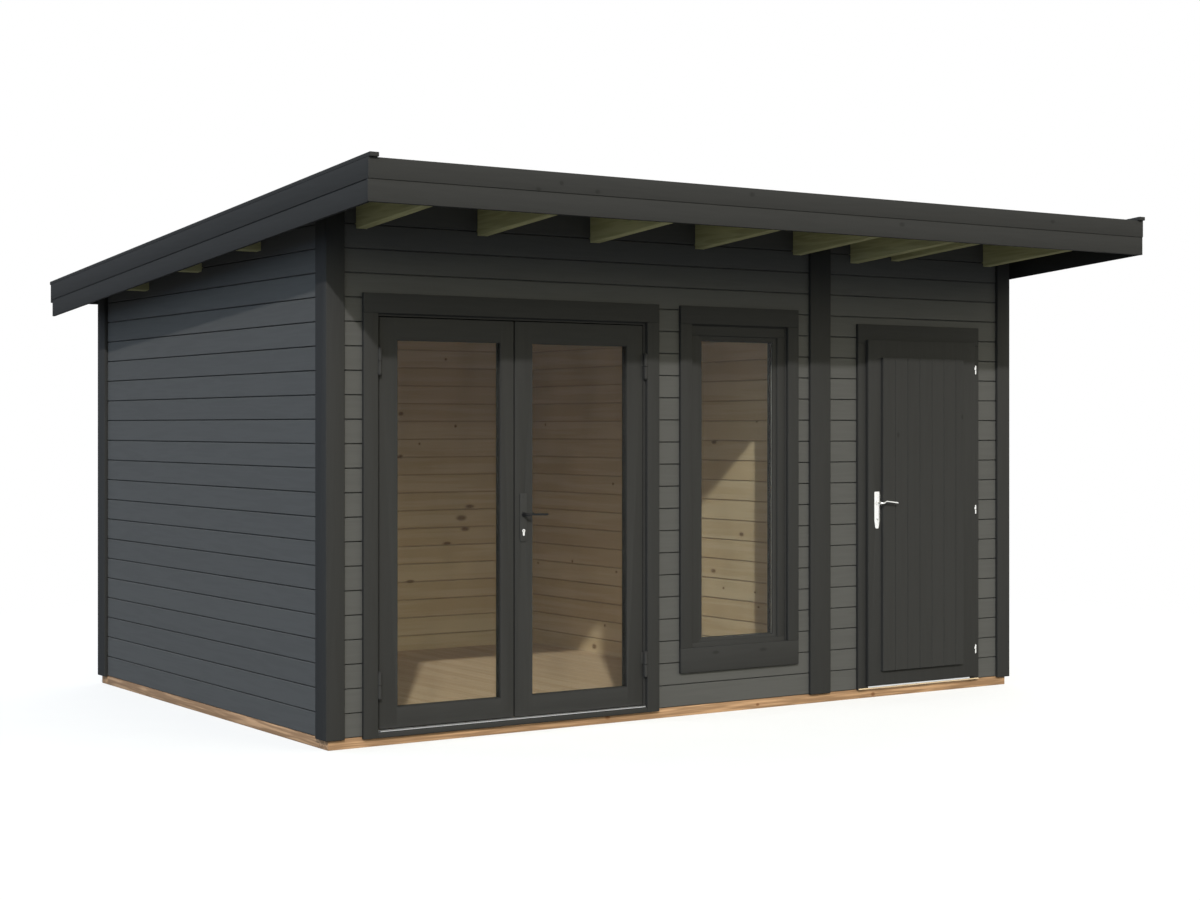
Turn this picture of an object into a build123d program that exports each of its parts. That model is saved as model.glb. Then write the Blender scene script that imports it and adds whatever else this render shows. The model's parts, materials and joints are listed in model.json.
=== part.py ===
from build123d import *
import os

# Timber garden office with a store room behind a partition. Lengths are in millimetres.
# Places are measured from the outer front left corner of the walls, at ground level:
# X runs right along the front, Y runs back and Z runs up. save() moves each piece into the
# part's own frame, whose origin is on the ground under the middle of the roof.

# Walls
wall_depth = 3005.0
wall_thickness = 44.0
cut_overrun = 40.0

# Front, from its left corner to its right corner
door_margin = 175.7
door_trim_span = 1706.0
window_gap = 137.3
window_trim_span = 790.0
partition_gap = 84.0
partition_cover_width = 142.0
store_gap = 199.0
store_trim_span = 918.0
end_margin = 230.0

# Foundation and floor
bearer_height = 50.0
bearer_width = 95.0
joist_count = 5
joist_width = 60.0
floor_thickness = 19.0

# Roof
front_overhang = 845.0
rear_overhang = 250.0
side_overhang = 225.0
roof_fall_share = 0.0746
header_height = 300.0
rafter_depth = 131.0
rafter_thickness = 58.0
first_rafter_offset = 145.0
partition_rafter_gap = 99.0
last_rafter_offset = 117.0
office_bay_count = 4
store_bay_count = 2
partition_beam_gap = 208.0
beam_extra_depth = 26.0
lookout_count = 3
lookout_thickness = 58.0
deck_thickness = 18.0
felt_thickness = 5.0
fascia_thickness = 20.0
fascia_upper_height = 92.0
fascia_lower_height = 98.0
fascia_lower_setback = 4.0
rear_fascia_height = 108.0
cap_width = 45.0
cap_thickness = 19.0
cap_projection = 14.0

# Cover boards on the corners and over the partition's end
cover_thickness = 20.0
corner_cover_width = 97.0
cover_drop = 3.0
cover_top_gap = 3.0

# Glazed double door
trim_top = 2143.0
door_trim_width = 76.0
door_trim_head_width = 95.0
door_frame_reveal = 12.5
door_frame_thickness = 35.0
door_frame_depth = 76.0
door_stop_width = 14.0
leaf_gap = 5.0
leaf_inset = 2.0
leaf_thickness = 44.0
meeting_offset = 12.0
meeting_gap = 8.0
leaf_stile_width = 95.0
left_meeting_stile_width = 73.0
right_meeting_stile_width = 99.0
leaf_top_rail = 105.0
leaf_bottom_rail = 97.0
threshold_height = 23.0
threshold_plate_thickness = 8.0
door_foot_drop = 10.0

# Double glazing
pane_thickness = 4.0
pane_space = 8.0
pane_bite = 12.0

# Window
window_trim_width = 73.0
window_trim_rail_width = 95.0
window_trim_foot_width = 129.0
window_frame_foot_height = 77.0
window_trim_bottom = 225.0
window_frame_cover = 18.0
window_frame_width = 26.0
window_frame_depth = 66.0
window_sash_width = 50.0
window_sash_inset = 2.0
window_sash_thickness = 46.0
window_bead_width = 24.0
window_bottom_bead_width = 16.0
window_bead_inset = 9.0

# Store door, whose leaf laps over its frame
store_trim_width = 72.0
store_trim_head_width = 108.0
store_trim_drop = 62.0
store_frame_thickness = 22.0
store_frame_depth = 66.0
store_stop_width = 12.0
store_stop_depth = 20.0
store_lap = 20.0
store_lap_gap = 5.0
store_lap_thickness = 20.0
store_leaf_gap = 8.0
store_leaf_back = 15.0
plank_thickness = 19.0
plank_plate_gap = 12.0
plank_right_margin = 110.0
plank_top_margin = 98.0
plank_bottom_margin = 78.0
store_threshold_height = 18.0

# Barrel hinges
leaf_hinge_radius = 6.0
leaf_hinge_height = 140.0
leaf_hinge_side = 8.0
leaf_hinge_front = 18.0
leaf_hinge_margin = 140.0
hinge_pin_radius = 3.0
hinge_pin_clearance = 0.3
hinge_knuckle_gap = 0.5
hinge_tab_thickness = 5.0
hinge_plate_width = 10.0
hinge_plate_thickness = 2.5
store_hinge_radius = 6.5
store_hinge_height = 60.0
store_hinge_side = 8.0
store_hinge_inset = 9.0
store_hinge_count = 3
store_hinge_margin = 125.0

# Lever handles
plate_width = 40.0
plate_thickness = 5.0
leaf_plate_height = 240.0
store_plate_height = 205.0
leaf_plate_side = 46.0
store_plate_side = 60.0
leaf_lever_height = 1077.0
store_lever_height = 1087.0
leaf_lever_above_middle = 16.0
store_lever_above_middle = 40.0
spindle_radius = 5.0
spindle_clearance = 0.4
lever_neck_radius = 8.0
lever_rise = 46.0
lever_length = 122.0
lever_grip_height = 19.0
lever_grip_thickness = 13.0
lever_plate_clearance = 1.0

# Worked out from the sizes above
door_trim_left = door_margin
door_trim_right = door_trim_left + door_trim_span
door_centre = (door_trim_left + door_trim_right) / 2
window_trim_left = door_trim_right + window_gap
window_trim_right = window_trim_left + window_trim_span
partition_centre = window_trim_right + partition_gap + partition_cover_width / 2
store_trim_left = partition_centre + partition_cover_width / 2 + store_gap
store_trim_right = store_trim_left + store_trim_span
store_trim_top = trim_top - store_trim_drop
wall_width = store_trim_right + end_margin
rafter_bottom_height = trim_top + header_height
roof_depth = front_overhang + wall_depth + rear_overhang
origin_x = -wall_width / 2
origin_y = -roof_depth / 2 + front_overhang
floor_top = bearer_height + floor_thickness
roof_left = -side_overhang
roof_right = wall_width + side_overhang
roof_front = -front_overhang
roof_back = wall_depth + rear_overhang
deck_left = roof_left + fascia_thickness
deck_right = roof_right - fascia_thickness
deck_front = roof_front + fascia_thickness
deck_back = roof_back - fascia_thickness
partition_left = partition_centre - wall_thickness / 2
partition_right = partition_centre + wall_thickness / 2


def box(x0, x1, y0, y1, z0, z1):
    """Gives a block between two corners."""
    return Pos((x0 + x1) / 2, (y0 + y1) / 2, (z0 + z1) / 2) * Box(x1 - x0, y1 - y0, z1 - z0)


def side_prism(points, x0, x1):
    """Gives a prism that runs along X with an outline of (Y, Z) points."""
    outline = make_face(Polyline(*[(0, y, z) for y, z in points], close=True))
    return Pos(x0, 0, 0) * extrude(outline, amount=x1 - x0, dir=(1, 0, 0))


def upright(x, y, radius, z0, z1):
    """Gives an upright cylinder."""
    return Pos(x, y, (z0 + z1) / 2) * Cylinder(radius, z1 - z0)


def cross_pin(x, z, radius, y0, y1):
    """Gives a cylinder that runs along Y."""
    return Pos(x, (y0 + y1) / 2, z) * Rot(X=90) * Cylinder(radius, y1 - y0)


def roof_line(y, lift):
    """Gives the height of the rafters' lower edge at y, raised by lift."""
    return rafter_bottom_height - roof_fall_share * y + lift


def sloped_slab(x0, x1, y0, y1, lift0, lift1):
    """Gives a slab that follows the roof's fall between two lifts over the rafters' lower edge."""
    outline = [
        (y0, roof_line(y0, lift0)),
        (y1, roof_line(y1, lift0)),
        (y1, roof_line(y1, lift1)),
        (y0, roof_line(y0, lift1)),
    ]
    return side_prism(outline, x0, x1)


def ring(x0, x1, z0, z1, side, bottom, top, y0, y1):
    """Gives a rectangular frame that stands in the wall's plane."""
    outer = box(x0, x1, y0, y1, z0, z1)
    inner = box(x0 + side, x1 - side, y0 - cut_overrun, y1 + cut_overrun, z0 + bottom, z1 - top)
    return outer - inner


def portal(x0, x1, z0, z1, side, top, y0, y1):
    """Gives a door surround, open at the bottom."""
    outer = box(x0, x1, y0, y1, z0, z1)
    inner = box(x0 + side, x1 - side, y0 - cut_overrun, y1 + cut_overrun, z0 - cut_overrun, z1 - top)
    return outer - inner


def save(name, *solids):
    """Writes one named piece, moved into the part's own frame."""
    placed = [Pos(origin_x, origin_y, 0) * solid for solid in solids]
    shape = placed[0] if len(placed) == 1 else Compound(children=placed)
    export_step(shape, os.path.join("parts", name + ".step"))


os.makedirs("parts", exist_ok=True)

# Roof timbers, made first because the walls are notched around them
deck_lift = rafter_depth
middle_rafter = partition_left - partition_rafter_gap - rafter_thickness
last_rafter = wall_width - last_rafter_offset - rafter_thickness
office_pitch = (middle_rafter - first_rafter_offset) / office_bay_count
store_pitch = (last_rafter - middle_rafter) / store_bay_count
rafter_lefts = [first_rafter_offset + i * office_pitch for i in range(office_bay_count)]
rafter_lefts += [middle_rafter + i * store_pitch for i in range(store_bay_count + 1)]
beam_left = partition_right + partition_beam_gap
rafters = [
    sloped_slab(x, x + rafter_thickness, deck_front, deck_back, 0, deck_lift) for x in rafter_lefts
]
rafters.append(
    sloped_slab(
        beam_left, beam_left + rafter_thickness, deck_front, deck_back, -beam_extra_depth, deck_lift
    )
)
save("rafters", *rafters)

lookout_fronts = [(i + 1) * wall_depth / (lookout_count + 1) for i in range(lookout_count)]
right_rafter_side = last_rafter + rafter_thickness
lookouts = []
for x0, x1 in ((deck_left, first_rafter_offset), (right_rafter_side, deck_right)):
    for y in lookout_fronts:
        lookouts.append(sloped_slab(x0, x1, y, y + lookout_thickness, 0, deck_lift))
save("roof_lookouts", *lookouts)

# Roof skin and edges
deck_top_lift = deck_lift + deck_thickness
felt_top_lift = deck_top_lift + felt_thickness
save("roof_deck", sloped_slab(deck_left, deck_right, deck_front, deck_back, deck_lift, deck_top_lift))
save("roof_felt", sloped_slab(deck_left, deck_right, deck_front, deck_back, deck_top_lift, felt_top_lift))

fascia_middle_lift = felt_top_lift - fascia_upper_height
fascia_bottom_lift = fascia_middle_lift - fascia_lower_height


def cross_fascia(outer_y, inner_y, lift0, lift1):
    """Gives a fascia board that runs along X between the side boards' outer faces."""
    return sloped_slab(roof_left, roof_right, outer_y, inner_y, lift0, lift1)


lower_thickness = fascia_thickness - fascia_lower_setback
save("front_fascia_upper", cross_fascia(roof_front, deck_front, fascia_middle_lift, felt_top_lift))
save(
    "front_fascia_lower",
    cross_fascia(roof_front + fascia_lower_setback, deck_front, fascia_bottom_lift, fascia_middle_lift),
)
save("rear_fascia", cross_fascia(deck_back, roof_back, felt_top_lift - rear_fascia_height, felt_top_lift))
save(
    "side_fascia_upper",
    sloped_slab(roof_left, deck_left, deck_front, deck_back, fascia_middle_lift, felt_top_lift),
    sloped_slab(deck_right, roof_right, deck_front, deck_back, fascia_middle_lift, felt_top_lift),
)
save(
    "side_fascia_lower",
    sloped_slab(
        deck_left - lower_thickness, deck_left, deck_front, deck_back, fascia_bottom_lift, fascia_middle_lift
    ),
    sloped_slab(
        deck_right, deck_right + lower_thickness, deck_front, deck_back, fascia_bottom_lift, fascia_middle_lift
    ),
)
cap_top_lift = felt_top_lift + cap_thickness
cap_front = roof_front - cap_projection
cap_back = roof_back + cap_projection
save(
    "roof_edge_caps",
    sloped_slab(roof_left, roof_left + cap_width, cap_front, cap_back, felt_top_lift, cap_top_lift),
    sloped_slab(roof_right - cap_width, roof_right, cap_front, cap_back, felt_top_lift, cap_top_lift),
)

# Foundation bearers and floor
save(
    "foundation_long_bearers",
    box(0, wall_width, 0, bearer_width, 0, bearer_height),
    box(0, wall_width, wall_depth - bearer_width, wall_depth, 0, bearer_height),
)
cross_bearers = [
    box(0, bearer_width, bearer_width, wall_depth - bearer_width, 0, bearer_height),
    box(wall_width - bearer_width, wall_width, bearer_width, wall_depth - bearer_width, 0, bearer_height),
]
joist_pitch = (wall_width - 2 * bearer_width) / (joist_count + 1)
for i in range(joist_count):
    middle = bearer_width + (i + 1) * joist_pitch
    cross_bearers.append(
        box(
            middle - joist_width / 2,
            middle + joist_width / 2,
            bearer_width,
            wall_depth - bearer_width,
            0,
            bearer_height,
        )
    )
save("foundation_cross_bearers", *cross_bearers)
inner_back = wall_depth - wall_thickness

# Door and window places that the front wall is built around
door_left = door_trim_left + door_trim_width
door_right = door_trim_right - door_trim_width
door_frame_left = door_left + door_frame_reveal - door_frame_thickness
door_frame_right = door_right - door_frame_reveal + door_frame_thickness
door_head = trim_top - door_trim_head_width
door_frame_top = door_head - door_frame_reveal + door_frame_thickness
window_left = window_trim_left + window_trim_width
window_right = window_trim_right - window_trim_width
window_frame_left = window_left - window_frame_cover
window_frame_right = window_right + window_frame_cover
window_frame_bottom = window_trim_bottom + window_frame_foot_height
window_frame_top = trim_top - window_trim_rail_width + window_frame_cover
store_left = store_trim_left + store_trim_width
store_right = store_trim_right - store_trim_width
store_head = store_trim_top - store_trim_head_width
store_frame_left = store_left - store_frame_thickness
store_frame_right = store_right + store_frame_thickness
store_frame_top = store_head + store_frame_thickness
header_bottom = max(door_frame_top, window_frame_top, store_frame_top)


def front_slab(x0, x1, z0, z1):
    """Gives a stretch of the front wall."""
    return box(x0, x1, 0, wall_thickness, z0, z1)


def notched(wall, timbers):
    """Cuts the timbers that pass through a wall out of it."""
    for timber in timbers:
        wall = wall - timber
    return wall


# Front wall, split beside and over its openings
front_top = side_prism(
    [
        (0, header_bottom),
        (wall_thickness, header_bottom),
        (wall_thickness, roof_line(wall_thickness, deck_lift)),
        (0, roof_line(0, deck_lift)),
    ],
    0,
    wall_width,
)
save("front_wall_top", notched(front_top, rafters))
save(
    "front_wall_piers",
    front_slab(0, door_frame_left, bearer_height, header_bottom),
    front_slab(door_frame_right, window_frame_left, bearer_height, header_bottom),
    front_slab(window_frame_right, store_frame_left, bearer_height, header_bottom),
    front_slab(store_frame_right, wall_width, bearer_height, header_bottom),
)
save(
    "front_wall_window_apron",
    front_slab(window_frame_left, window_frame_right, bearer_height, window_frame_bottom),
)
heads = []
for x0, x1, top in (
    (door_frame_left, door_frame_right, door_frame_top),
    (window_frame_left, window_frame_right, window_frame_top),
    (store_frame_left, store_frame_right, store_frame_top),
):
    if header_bottom > top:
        heads.append(front_slab(x0, x1, top, header_bottom))
save("front_wall_heads", *heads)


def lengthwise_wall(x0, x1, y0, y1):
    """Gives a wall that runs front to back, up to the underside of the roof boards."""
    outline = [
        (y0, bearer_height),
        (y1, bearer_height),
        (y1, roof_line(y1, deck_lift)),
        (y0, roof_line(y0, deck_lift)),
    ]
    return side_prism(outline, x0, x1)


# Side, back and partition walls
side_walls = (
    ("left_wall", 0, wall_thickness),
    ("right_wall", wall_width - wall_thickness, wall_width),
)
for name, x0, x1 in side_walls:
    save(name, notched(lengthwise_wall(x0, x1, wall_thickness, wall_depth - wall_thickness), lookouts))
back = side_prism(
    [
        (inner_back, bearer_height),
        (wall_depth, bearer_height),
        (wall_depth, roof_line(wall_depth, deck_lift)),
        (inner_back, roof_line(inner_back, deck_lift)),
    ],
    0,
    wall_width,
)
save("back_wall", notched(back, rafters))
save("partition_wall", lengthwise_wall(partition_left, partition_right, wall_thickness, inner_back))

# Cover boards, which stop under the roof boards
cover_bottom = bearer_height - cover_drop
cover_lift = deck_lift - cover_top_gap
front_cover_top = roof_line(0, cover_lift)
back_cover_top = roof_line(wall_depth + cover_thickness, cover_lift)


def corner_cover(left, front):
    """Gives the two boards, joined to an L, that cover one corner."""
    along_x = (-cover_thickness, corner_cover_width - cover_thickness)
    if not left:
        along_x = (wall_width + cover_thickness - corner_cover_width, wall_width + cover_thickness)
    side_x = (-cover_thickness, 0) if left else (wall_width, wall_width + cover_thickness)
    top = front_cover_top if front else back_cover_top
    if front:
        face = box(*along_x, -cover_thickness, 0, cover_bottom, top)
        side = box(*side_x, 0, corner_cover_width, cover_bottom, roof_line(corner_cover_width, cover_lift))
    else:
        face = box(*along_x, wall_depth, wall_depth + cover_thickness, cover_bottom, top)
        side = box(*side_x, wall_depth - corner_cover_width, wall_depth, cover_bottom, top)
    return face + side


save("corner_covers", *[corner_cover(left, front) for front in (True, False) for left in (True, False)])
save(
    "partition_cover",
    box(
        partition_centre - partition_cover_width / 2,
        partition_centre + partition_cover_width / 2,
        -cover_thickness,
        0,
        bearer_height,
        front_cover_top,
    ),
)

# Glazed double door: surround, frame with its stop, and threshold
save(
    "glazed_door_trim",
    portal(
        door_trim_left,
        door_trim_right,
        bearer_height - door_foot_drop,
        trim_top,
        door_trim_width,
        door_trim_head_width,
        -cover_thickness,
        0,
    ),
)
stop_front = leaf_inset + leaf_thickness + leaf_gap
door_frame = portal(
    door_frame_left,
    door_frame_right,
    bearer_height,
    door_frame_top,
    door_frame_thickness,
    door_frame_thickness,
    0,
    door_frame_depth,
)
door_stop = portal(
    door_frame_left + door_frame_thickness,
    door_frame_right - door_frame_thickness,
    bearer_height,
    door_frame_top - door_frame_thickness,
    door_stop_width,
    door_stop_width,
    stop_front,
    door_frame_depth,
)
save("glazed_door_frame", door_frame + door_stop)
threshold_top = bearer_height + threshold_height
sill_top = threshold_top - threshold_plate_thickness
save(
    "glazed_door_sill",
    box(door_left, door_right, -cover_thickness, 0, bearer_height - door_foot_drop, sill_top),
)
opening_left = door_frame_left + door_frame_thickness
opening_right = door_frame_right - door_frame_thickness
opening_top = door_frame_top - door_frame_thickness
save(
    "glazed_door_threshold",
    box(opening_left, opening_right, -cover_thickness, wall_thickness, sill_top, threshold_top)
    + box(opening_left, opening_right, 0, wall_thickness, bearer_height, sill_top),
)

# Glazed leaves
leaf_left_edge = opening_left + leaf_gap
leaf_right_edge = opening_right - leaf_gap
meeting_line = door_centre - meeting_offset
leaf_bottom = threshold_top + leaf_gap
leaf_top = opening_top - leaf_gap
leaf_front = leaf_inset
leaf_back = leaf_inset + leaf_thickness
unit_thickness = 2 * pane_thickness + pane_space
leaf_spindle_x = meeting_line + meeting_gap / 2 + leaf_plate_side


def panes(x0, x1, z0, z1, middle):
    """Gives the two panes of a double glazed unit."""
    front = middle - unit_thickness / 2
    back = middle + unit_thickness / 2
    return [box(x0, x1, front, front + pane_thickness, z0, z1), box(x0, x1, back - pane_thickness, back, z0, z1)]


def glazed_leaf(x0, x1, left_stile, right_stile):
    """Gives a leaf's timber frame and the panes that sit in its groove."""
    slab = box(x0, x1, leaf_front, leaf_back, leaf_bottom, leaf_top)
    glass_left = x0 + left_stile
    glass_right = x1 - right_stile
    glass_bottom = leaf_bottom + leaf_bottom_rail
    glass_top = leaf_top - leaf_top_rail
    middle = (leaf_front + leaf_back) / 2
    opening = box(
        glass_left, glass_right, leaf_front - cut_overrun, leaf_back + cut_overrun, glass_bottom, glass_top
    )
    unit = (glass_left - pane_bite, glass_right + pane_bite, glass_bottom - pane_bite, glass_top + pane_bite)
    groove = box(unit[0], unit[1], middle - unit_thickness / 2, middle + unit_thickness / 2, unit[2], unit[3])
    return slab - opening - groove, panes(*unit, middle)


left_leaf, left_panes = glazed_leaf(
    leaf_left_edge, meeting_line - meeting_gap / 2, leaf_stile_width, left_meeting_stile_width
)
right_leaf, right_panes = glazed_leaf(
    meeting_line + meeting_gap / 2, leaf_right_edge, right_meeting_stile_width, leaf_stile_width
)
spindle_bore = spindle_radius + spindle_clearance
right_leaf = right_leaf - cross_pin(
    leaf_spindle_x, leaf_lever_height, spindle_bore, leaf_front - cut_overrun, leaf_back + cut_overrun
)
save("left_leaf_frame", left_leaf)
save("left_leaf_glass", *left_panes)
save("right_leaf_frame", right_leaf)
save("right_leaf_glass", *right_panes)

# Window: surround, frame, fixed sash, beads and glass
save(
    "window_trim",
    ring(
        window_trim_left,
        window_trim_right,
        window_trim_bottom,
        trim_top,
        window_trim_width,
        window_trim_foot_width,
        window_trim_rail_width,
        -cover_thickness,
        0,
    ),
)
save(
    "window_frame",
    ring(
        window_frame_left,
        window_frame_right,
        window_frame_bottom,
        window_frame_top,
        window_frame_width,
        window_frame_width,
        window_frame_width,
        0,
        window_frame_depth,
    ),
)
sash_left = window_frame_left + window_frame_width
sash_right = window_frame_right - window_frame_width
sash_bottom = window_frame_bottom + window_frame_width
sash_top = window_frame_top - window_frame_width
sash_back = window_sash_inset + window_sash_thickness
sash_middle = (window_sash_inset + sash_back) / 2
save(
    "window_sash",
    ring(
        sash_left,
        sash_right,
        sash_bottom,
        sash_top,
        window_sash_width,
        window_sash_width,
        window_sash_width,
        window_sash_inset,
        sash_back,
    ),
)
bead_left = sash_left + window_sash_width
bead_right = sash_right - window_sash_width
bead_bottom = sash_bottom + window_sash_width
bead_top = sash_top - window_sash_width
light_left = bead_left + window_bead_width
light_right = bead_right - window_bead_width
light_bottom = bead_bottom + window_bottom_bead_width
light_top = bead_top - window_bead_width
bead_front = window_sash_inset + window_bead_inset
bead_back = sash_back - window_bead_inset
window_unit = (light_left - pane_bite, light_right + pane_bite, light_bottom - pane_bite, light_top + pane_bite)
window_groove = box(
    window_unit[0],
    window_unit[1],
    sash_middle - unit_thickness / 2,
    sash_middle + unit_thickness / 2,
    window_unit[2],
    window_unit[3],
)
save(
    "window_beads",
    box(bead_left, light_left, bead_front, bead_back, bead_bottom, bead_top) - window_groove,
    box(light_right, bead_right, bead_front, bead_back, bead_bottom, bead_top) - window_groove,
    box(light_left, light_right, bead_front, bead_back, bead_bottom, light_bottom) - window_groove,
    box(light_left, light_right, bead_front, bead_back, light_top, bead_top) - window_groove,
)
save("window_glass", *panes(*window_unit, sash_middle))

# Store door: surround, frame with its stop, and threshold
save(
    "store_door_trim",
    portal(
        store_trim_left,
        store_trim_right,
        bearer_height,
        store_trim_top,
        store_trim_width,
        store_trim_head_width,
        -cover_thickness,
        0,
    ),
)
store_threshold_top = bearer_height + store_threshold_height
store_stop_front = store_leaf_back + store_lap_gap
store_frame = portal(
    store_frame_left,
    store_frame_right,
    bearer_height,
    store_frame_top,
    store_frame_thickness,
    store_frame_thickness,
    0,
    store_frame_depth,
)
store_stop = portal(
    store_left,
    store_right,
    store_threshold_top,
    store_head,
    store_stop_width,
    store_stop_width,
    store_stop_front,
    store_stop_front + store_stop_depth,
)
save("store_door_frame", store_frame + store_stop)
save(
    "store_door_threshold",
    box(store_left, store_right, -cover_thickness, wall_thickness, bearer_height, store_threshold_top),
)

# Floor boards in both rooms, cut around the feet of the door frames
office_floor = box(wall_thickness, partition_left, wall_thickness, inner_back, bearer_height, floor_top)
store_floor = box(
    partition_right, wall_width - wall_thickness, wall_thickness, inner_back, bearer_height, floor_top
)
save("floor_boards", office_floor - door_frame - door_stop, store_floor - store_frame)

# Store leaf: a lapping face on a body that fills the frame, with a plank panel in front
lap_back = -cover_thickness - store_lap_gap
lap_front = lap_back - store_lap_thickness
lap_left = store_left - store_lap
lap_right = store_right + store_lap
lap_top = store_head + store_lap
lap_bottom = store_threshold_top + leaf_gap
plank_left = lap_left + store_plate_side + plate_width / 2 + plank_plate_gap
store_face = box(lap_left, lap_right, lap_front, lap_back, lap_bottom, lap_top)
store_body = box(
    store_left + store_leaf_gap,
    store_right - store_leaf_gap,
    lap_back,
    store_leaf_back,
    lap_bottom,
    store_head - store_leaf_gap,
)
store_spindle_x = lap_left + store_plate_side
store_bore = cross_pin(
    store_spindle_x, store_lever_height, spindle_bore, lap_front - cut_overrun, store_leaf_back + cut_overrun
)
save("store_leaf", store_face + store_body - store_bore)
save(
    "store_leaf_planks",
    box(
        plank_left,
        lap_right - plank_right_margin,
        lap_front - plank_thickness,
        lap_front,
        lap_bottom + plank_bottom_margin,
        lap_top - plank_top_margin,
    ),
)

# Barrel hinges: a lower knuckle with its pin on the frame, an upper knuckle on the leaf


def frame_knuckle(x, y, radius, z0, z1, tab):
    """Gives the fixed half of a hinge: lower knuckle, pin and the tab that holds it."""
    middle = (z0 + z1) / 2
    knuckle = upright(x, y, radius, z0, middle - hinge_knuckle_gap / 2)
    pin = upright(x, y, hinge_pin_radius, z0, z1 - radius)
    return knuckle + pin + box(*tab, z0, middle - hinge_knuckle_gap / 2)


def leaf_knuckle(x, y, radius, z0, z1, tab, plate):
    """Gives the moving half of a hinge: upper knuckle with its bore, tab and plate."""
    middle = (z0 + z1) / 2
    bottom = middle + hinge_knuckle_gap / 2
    body = upright(x, y, radius, bottom, z1) + box(*tab, bottom, z1)
    if plate:
        body = body + box(*plate, bottom, z1)
    bore_radius = hinge_pin_radius + hinge_pin_clearance
    bore = upright(x, y, bore_radius, bottom - cut_overrun, z1 - radius + hinge_knuckle_gap)
    return body - bore


leaf_hinge_y = leaf_front - leaf_hinge_front
leaf_hinge_spans = [
    (leaf_bottom + leaf_hinge_margin, leaf_bottom + leaf_hinge_margin + leaf_hinge_height),
    (leaf_top - leaf_hinge_margin - leaf_hinge_height, leaf_top - leaf_hinge_margin),
]
fixed_halves = []
moving_halves = {"left_leaf_hinges": [], "right_leaf_hinges": []}
for name, edge, outward in (
    ("left_leaf_hinges", leaf_left_edge, -1),
    ("right_leaf_hinges", leaf_right_edge, 1),
):
    x = edge + outward * leaf_hinge_side
    tab_x = sorted((x - outward * hinge_tab_thickness / 2, x + outward * hinge_tab_thickness / 2))
    fixed_tab = (*tab_x, leaf_hinge_y, 0)
    arm_x = sorted((x, edge - outward * hinge_plate_thickness))
    plate_x = sorted((edge, edge - outward * hinge_plate_width))
    plate = (*plate_x, leaf_front - hinge_plate_thickness, leaf_front)
    arm = (*arm_x, leaf_hinge_y, leaf_front - hinge_plate_thickness)
    for z0, z1 in leaf_hinge_spans:
        fixed_halves.append(frame_knuckle(x, leaf_hinge_y, leaf_hinge_radius, z0, z1, fixed_tab))
        moving_halves[name].append(leaf_knuckle(x, leaf_hinge_y, leaf_hinge_radius, z0, z1, arm, plate))
for name, halves in moving_halves.items():
    save(name, *halves)

store_hinge_x = lap_right + store_hinge_side
store_hinge_y = lap_front + store_hinge_inset
store_hinge_pitch = (lap_top - lap_bottom - 2 * store_hinge_margin - store_hinge_height) / (store_hinge_count - 1)
store_halves = []
for i in range(store_hinge_count):
    z0 = lap_bottom + store_hinge_margin + i * store_hinge_pitch
    z1 = z0 + store_hinge_height
    half_tab = hinge_tab_thickness / 2
    fixed_tab = (store_hinge_x - half_tab, store_hinge_x + half_tab, store_hinge_y, -cover_thickness)
    arm = (lap_right, store_hinge_x, store_hinge_y - half_tab, store_hinge_y + half_tab)
    fixed_halves.append(frame_knuckle(store_hinge_x, store_hinge_y, store_hinge_radius, z0, z1, fixed_tab))
    store_halves.append(leaf_knuckle(store_hinge_x, store_hinge_y, store_hinge_radius, z0, z1, arm, None))
save("store_leaf_hinges", *store_halves)
save("frame_hinges", *fixed_halves)

# Lever handles: a plate each side of the leaf, and one lever on a spindle through both


def handle(x, z, front, back, height, above_middle):
    """Gives the two plates and the lever of one handle on a leaf."""
    z_middle = z - above_middle
    span = (x - plate_width / 2, x + plate_width / 2)
    bore = cross_pin(x, z, spindle_bore, front - cut_overrun, back + cut_overrun)
    z_span = (z_middle - height / 2, z_middle + height / 2)
    outer_plate = box(*span, front - plate_thickness, front, *z_span) - bore
    inner_plate = box(*span, back, back + plate_thickness, *z_span) - bore
    outer_face = front - plate_thickness
    inner_face = back + plate_thickness
    spindle = cross_pin(x, z, spindle_radius, outer_face - lever_rise, inner_face + lever_rise)
    lever = spindle
    for face, away in ((outer_face, -1), (inner_face, 1)):
        neck_start = face + away * lever_plate_clearance
        neck_end = face + away * lever_rise
        grip_end = neck_end - away * lever_grip_thickness
        lever = lever + cross_pin(x, z, lever_neck_radius, *sorted((neck_start, neck_end)))
        lever = lever + box(
            x - lever_neck_radius,
            x + lever_length,
            *sorted((neck_end, grip_end)),
            z - lever_grip_height / 2,
            z + lever_grip_height / 2,
        )
    return [outer_plate, inner_plate], lever


leaf_plates, leaf_lever = handle(
    leaf_spindle_x, leaf_lever_height, leaf_front, leaf_back, leaf_plate_height, leaf_lever_above_middle
)
store_plates, store_lever = handle(
    store_spindle_x,
    store_lever_height,
    lap_front,
    store_leaf_back,
    store_plate_height,
    store_lever_above_middle,
)
save("right_leaf_handle_plates", *leaf_plates)
save("right_leaf_lever", leaf_lever)
save("store_leaf_handle_plates", *store_plates)
save("store_leaf_lever", store_lever)
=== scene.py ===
"""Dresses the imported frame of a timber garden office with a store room.

Lengths are metres in the part's own frame: X runs right along the front, Y runs back and Z runs up.
"""

import json
import logging
import math
from dataclasses import dataclass, field
from enum import Enum
from typing import Any, Callable

import bmesh
import bpy
from mathutils import Matrix, Vector


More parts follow.
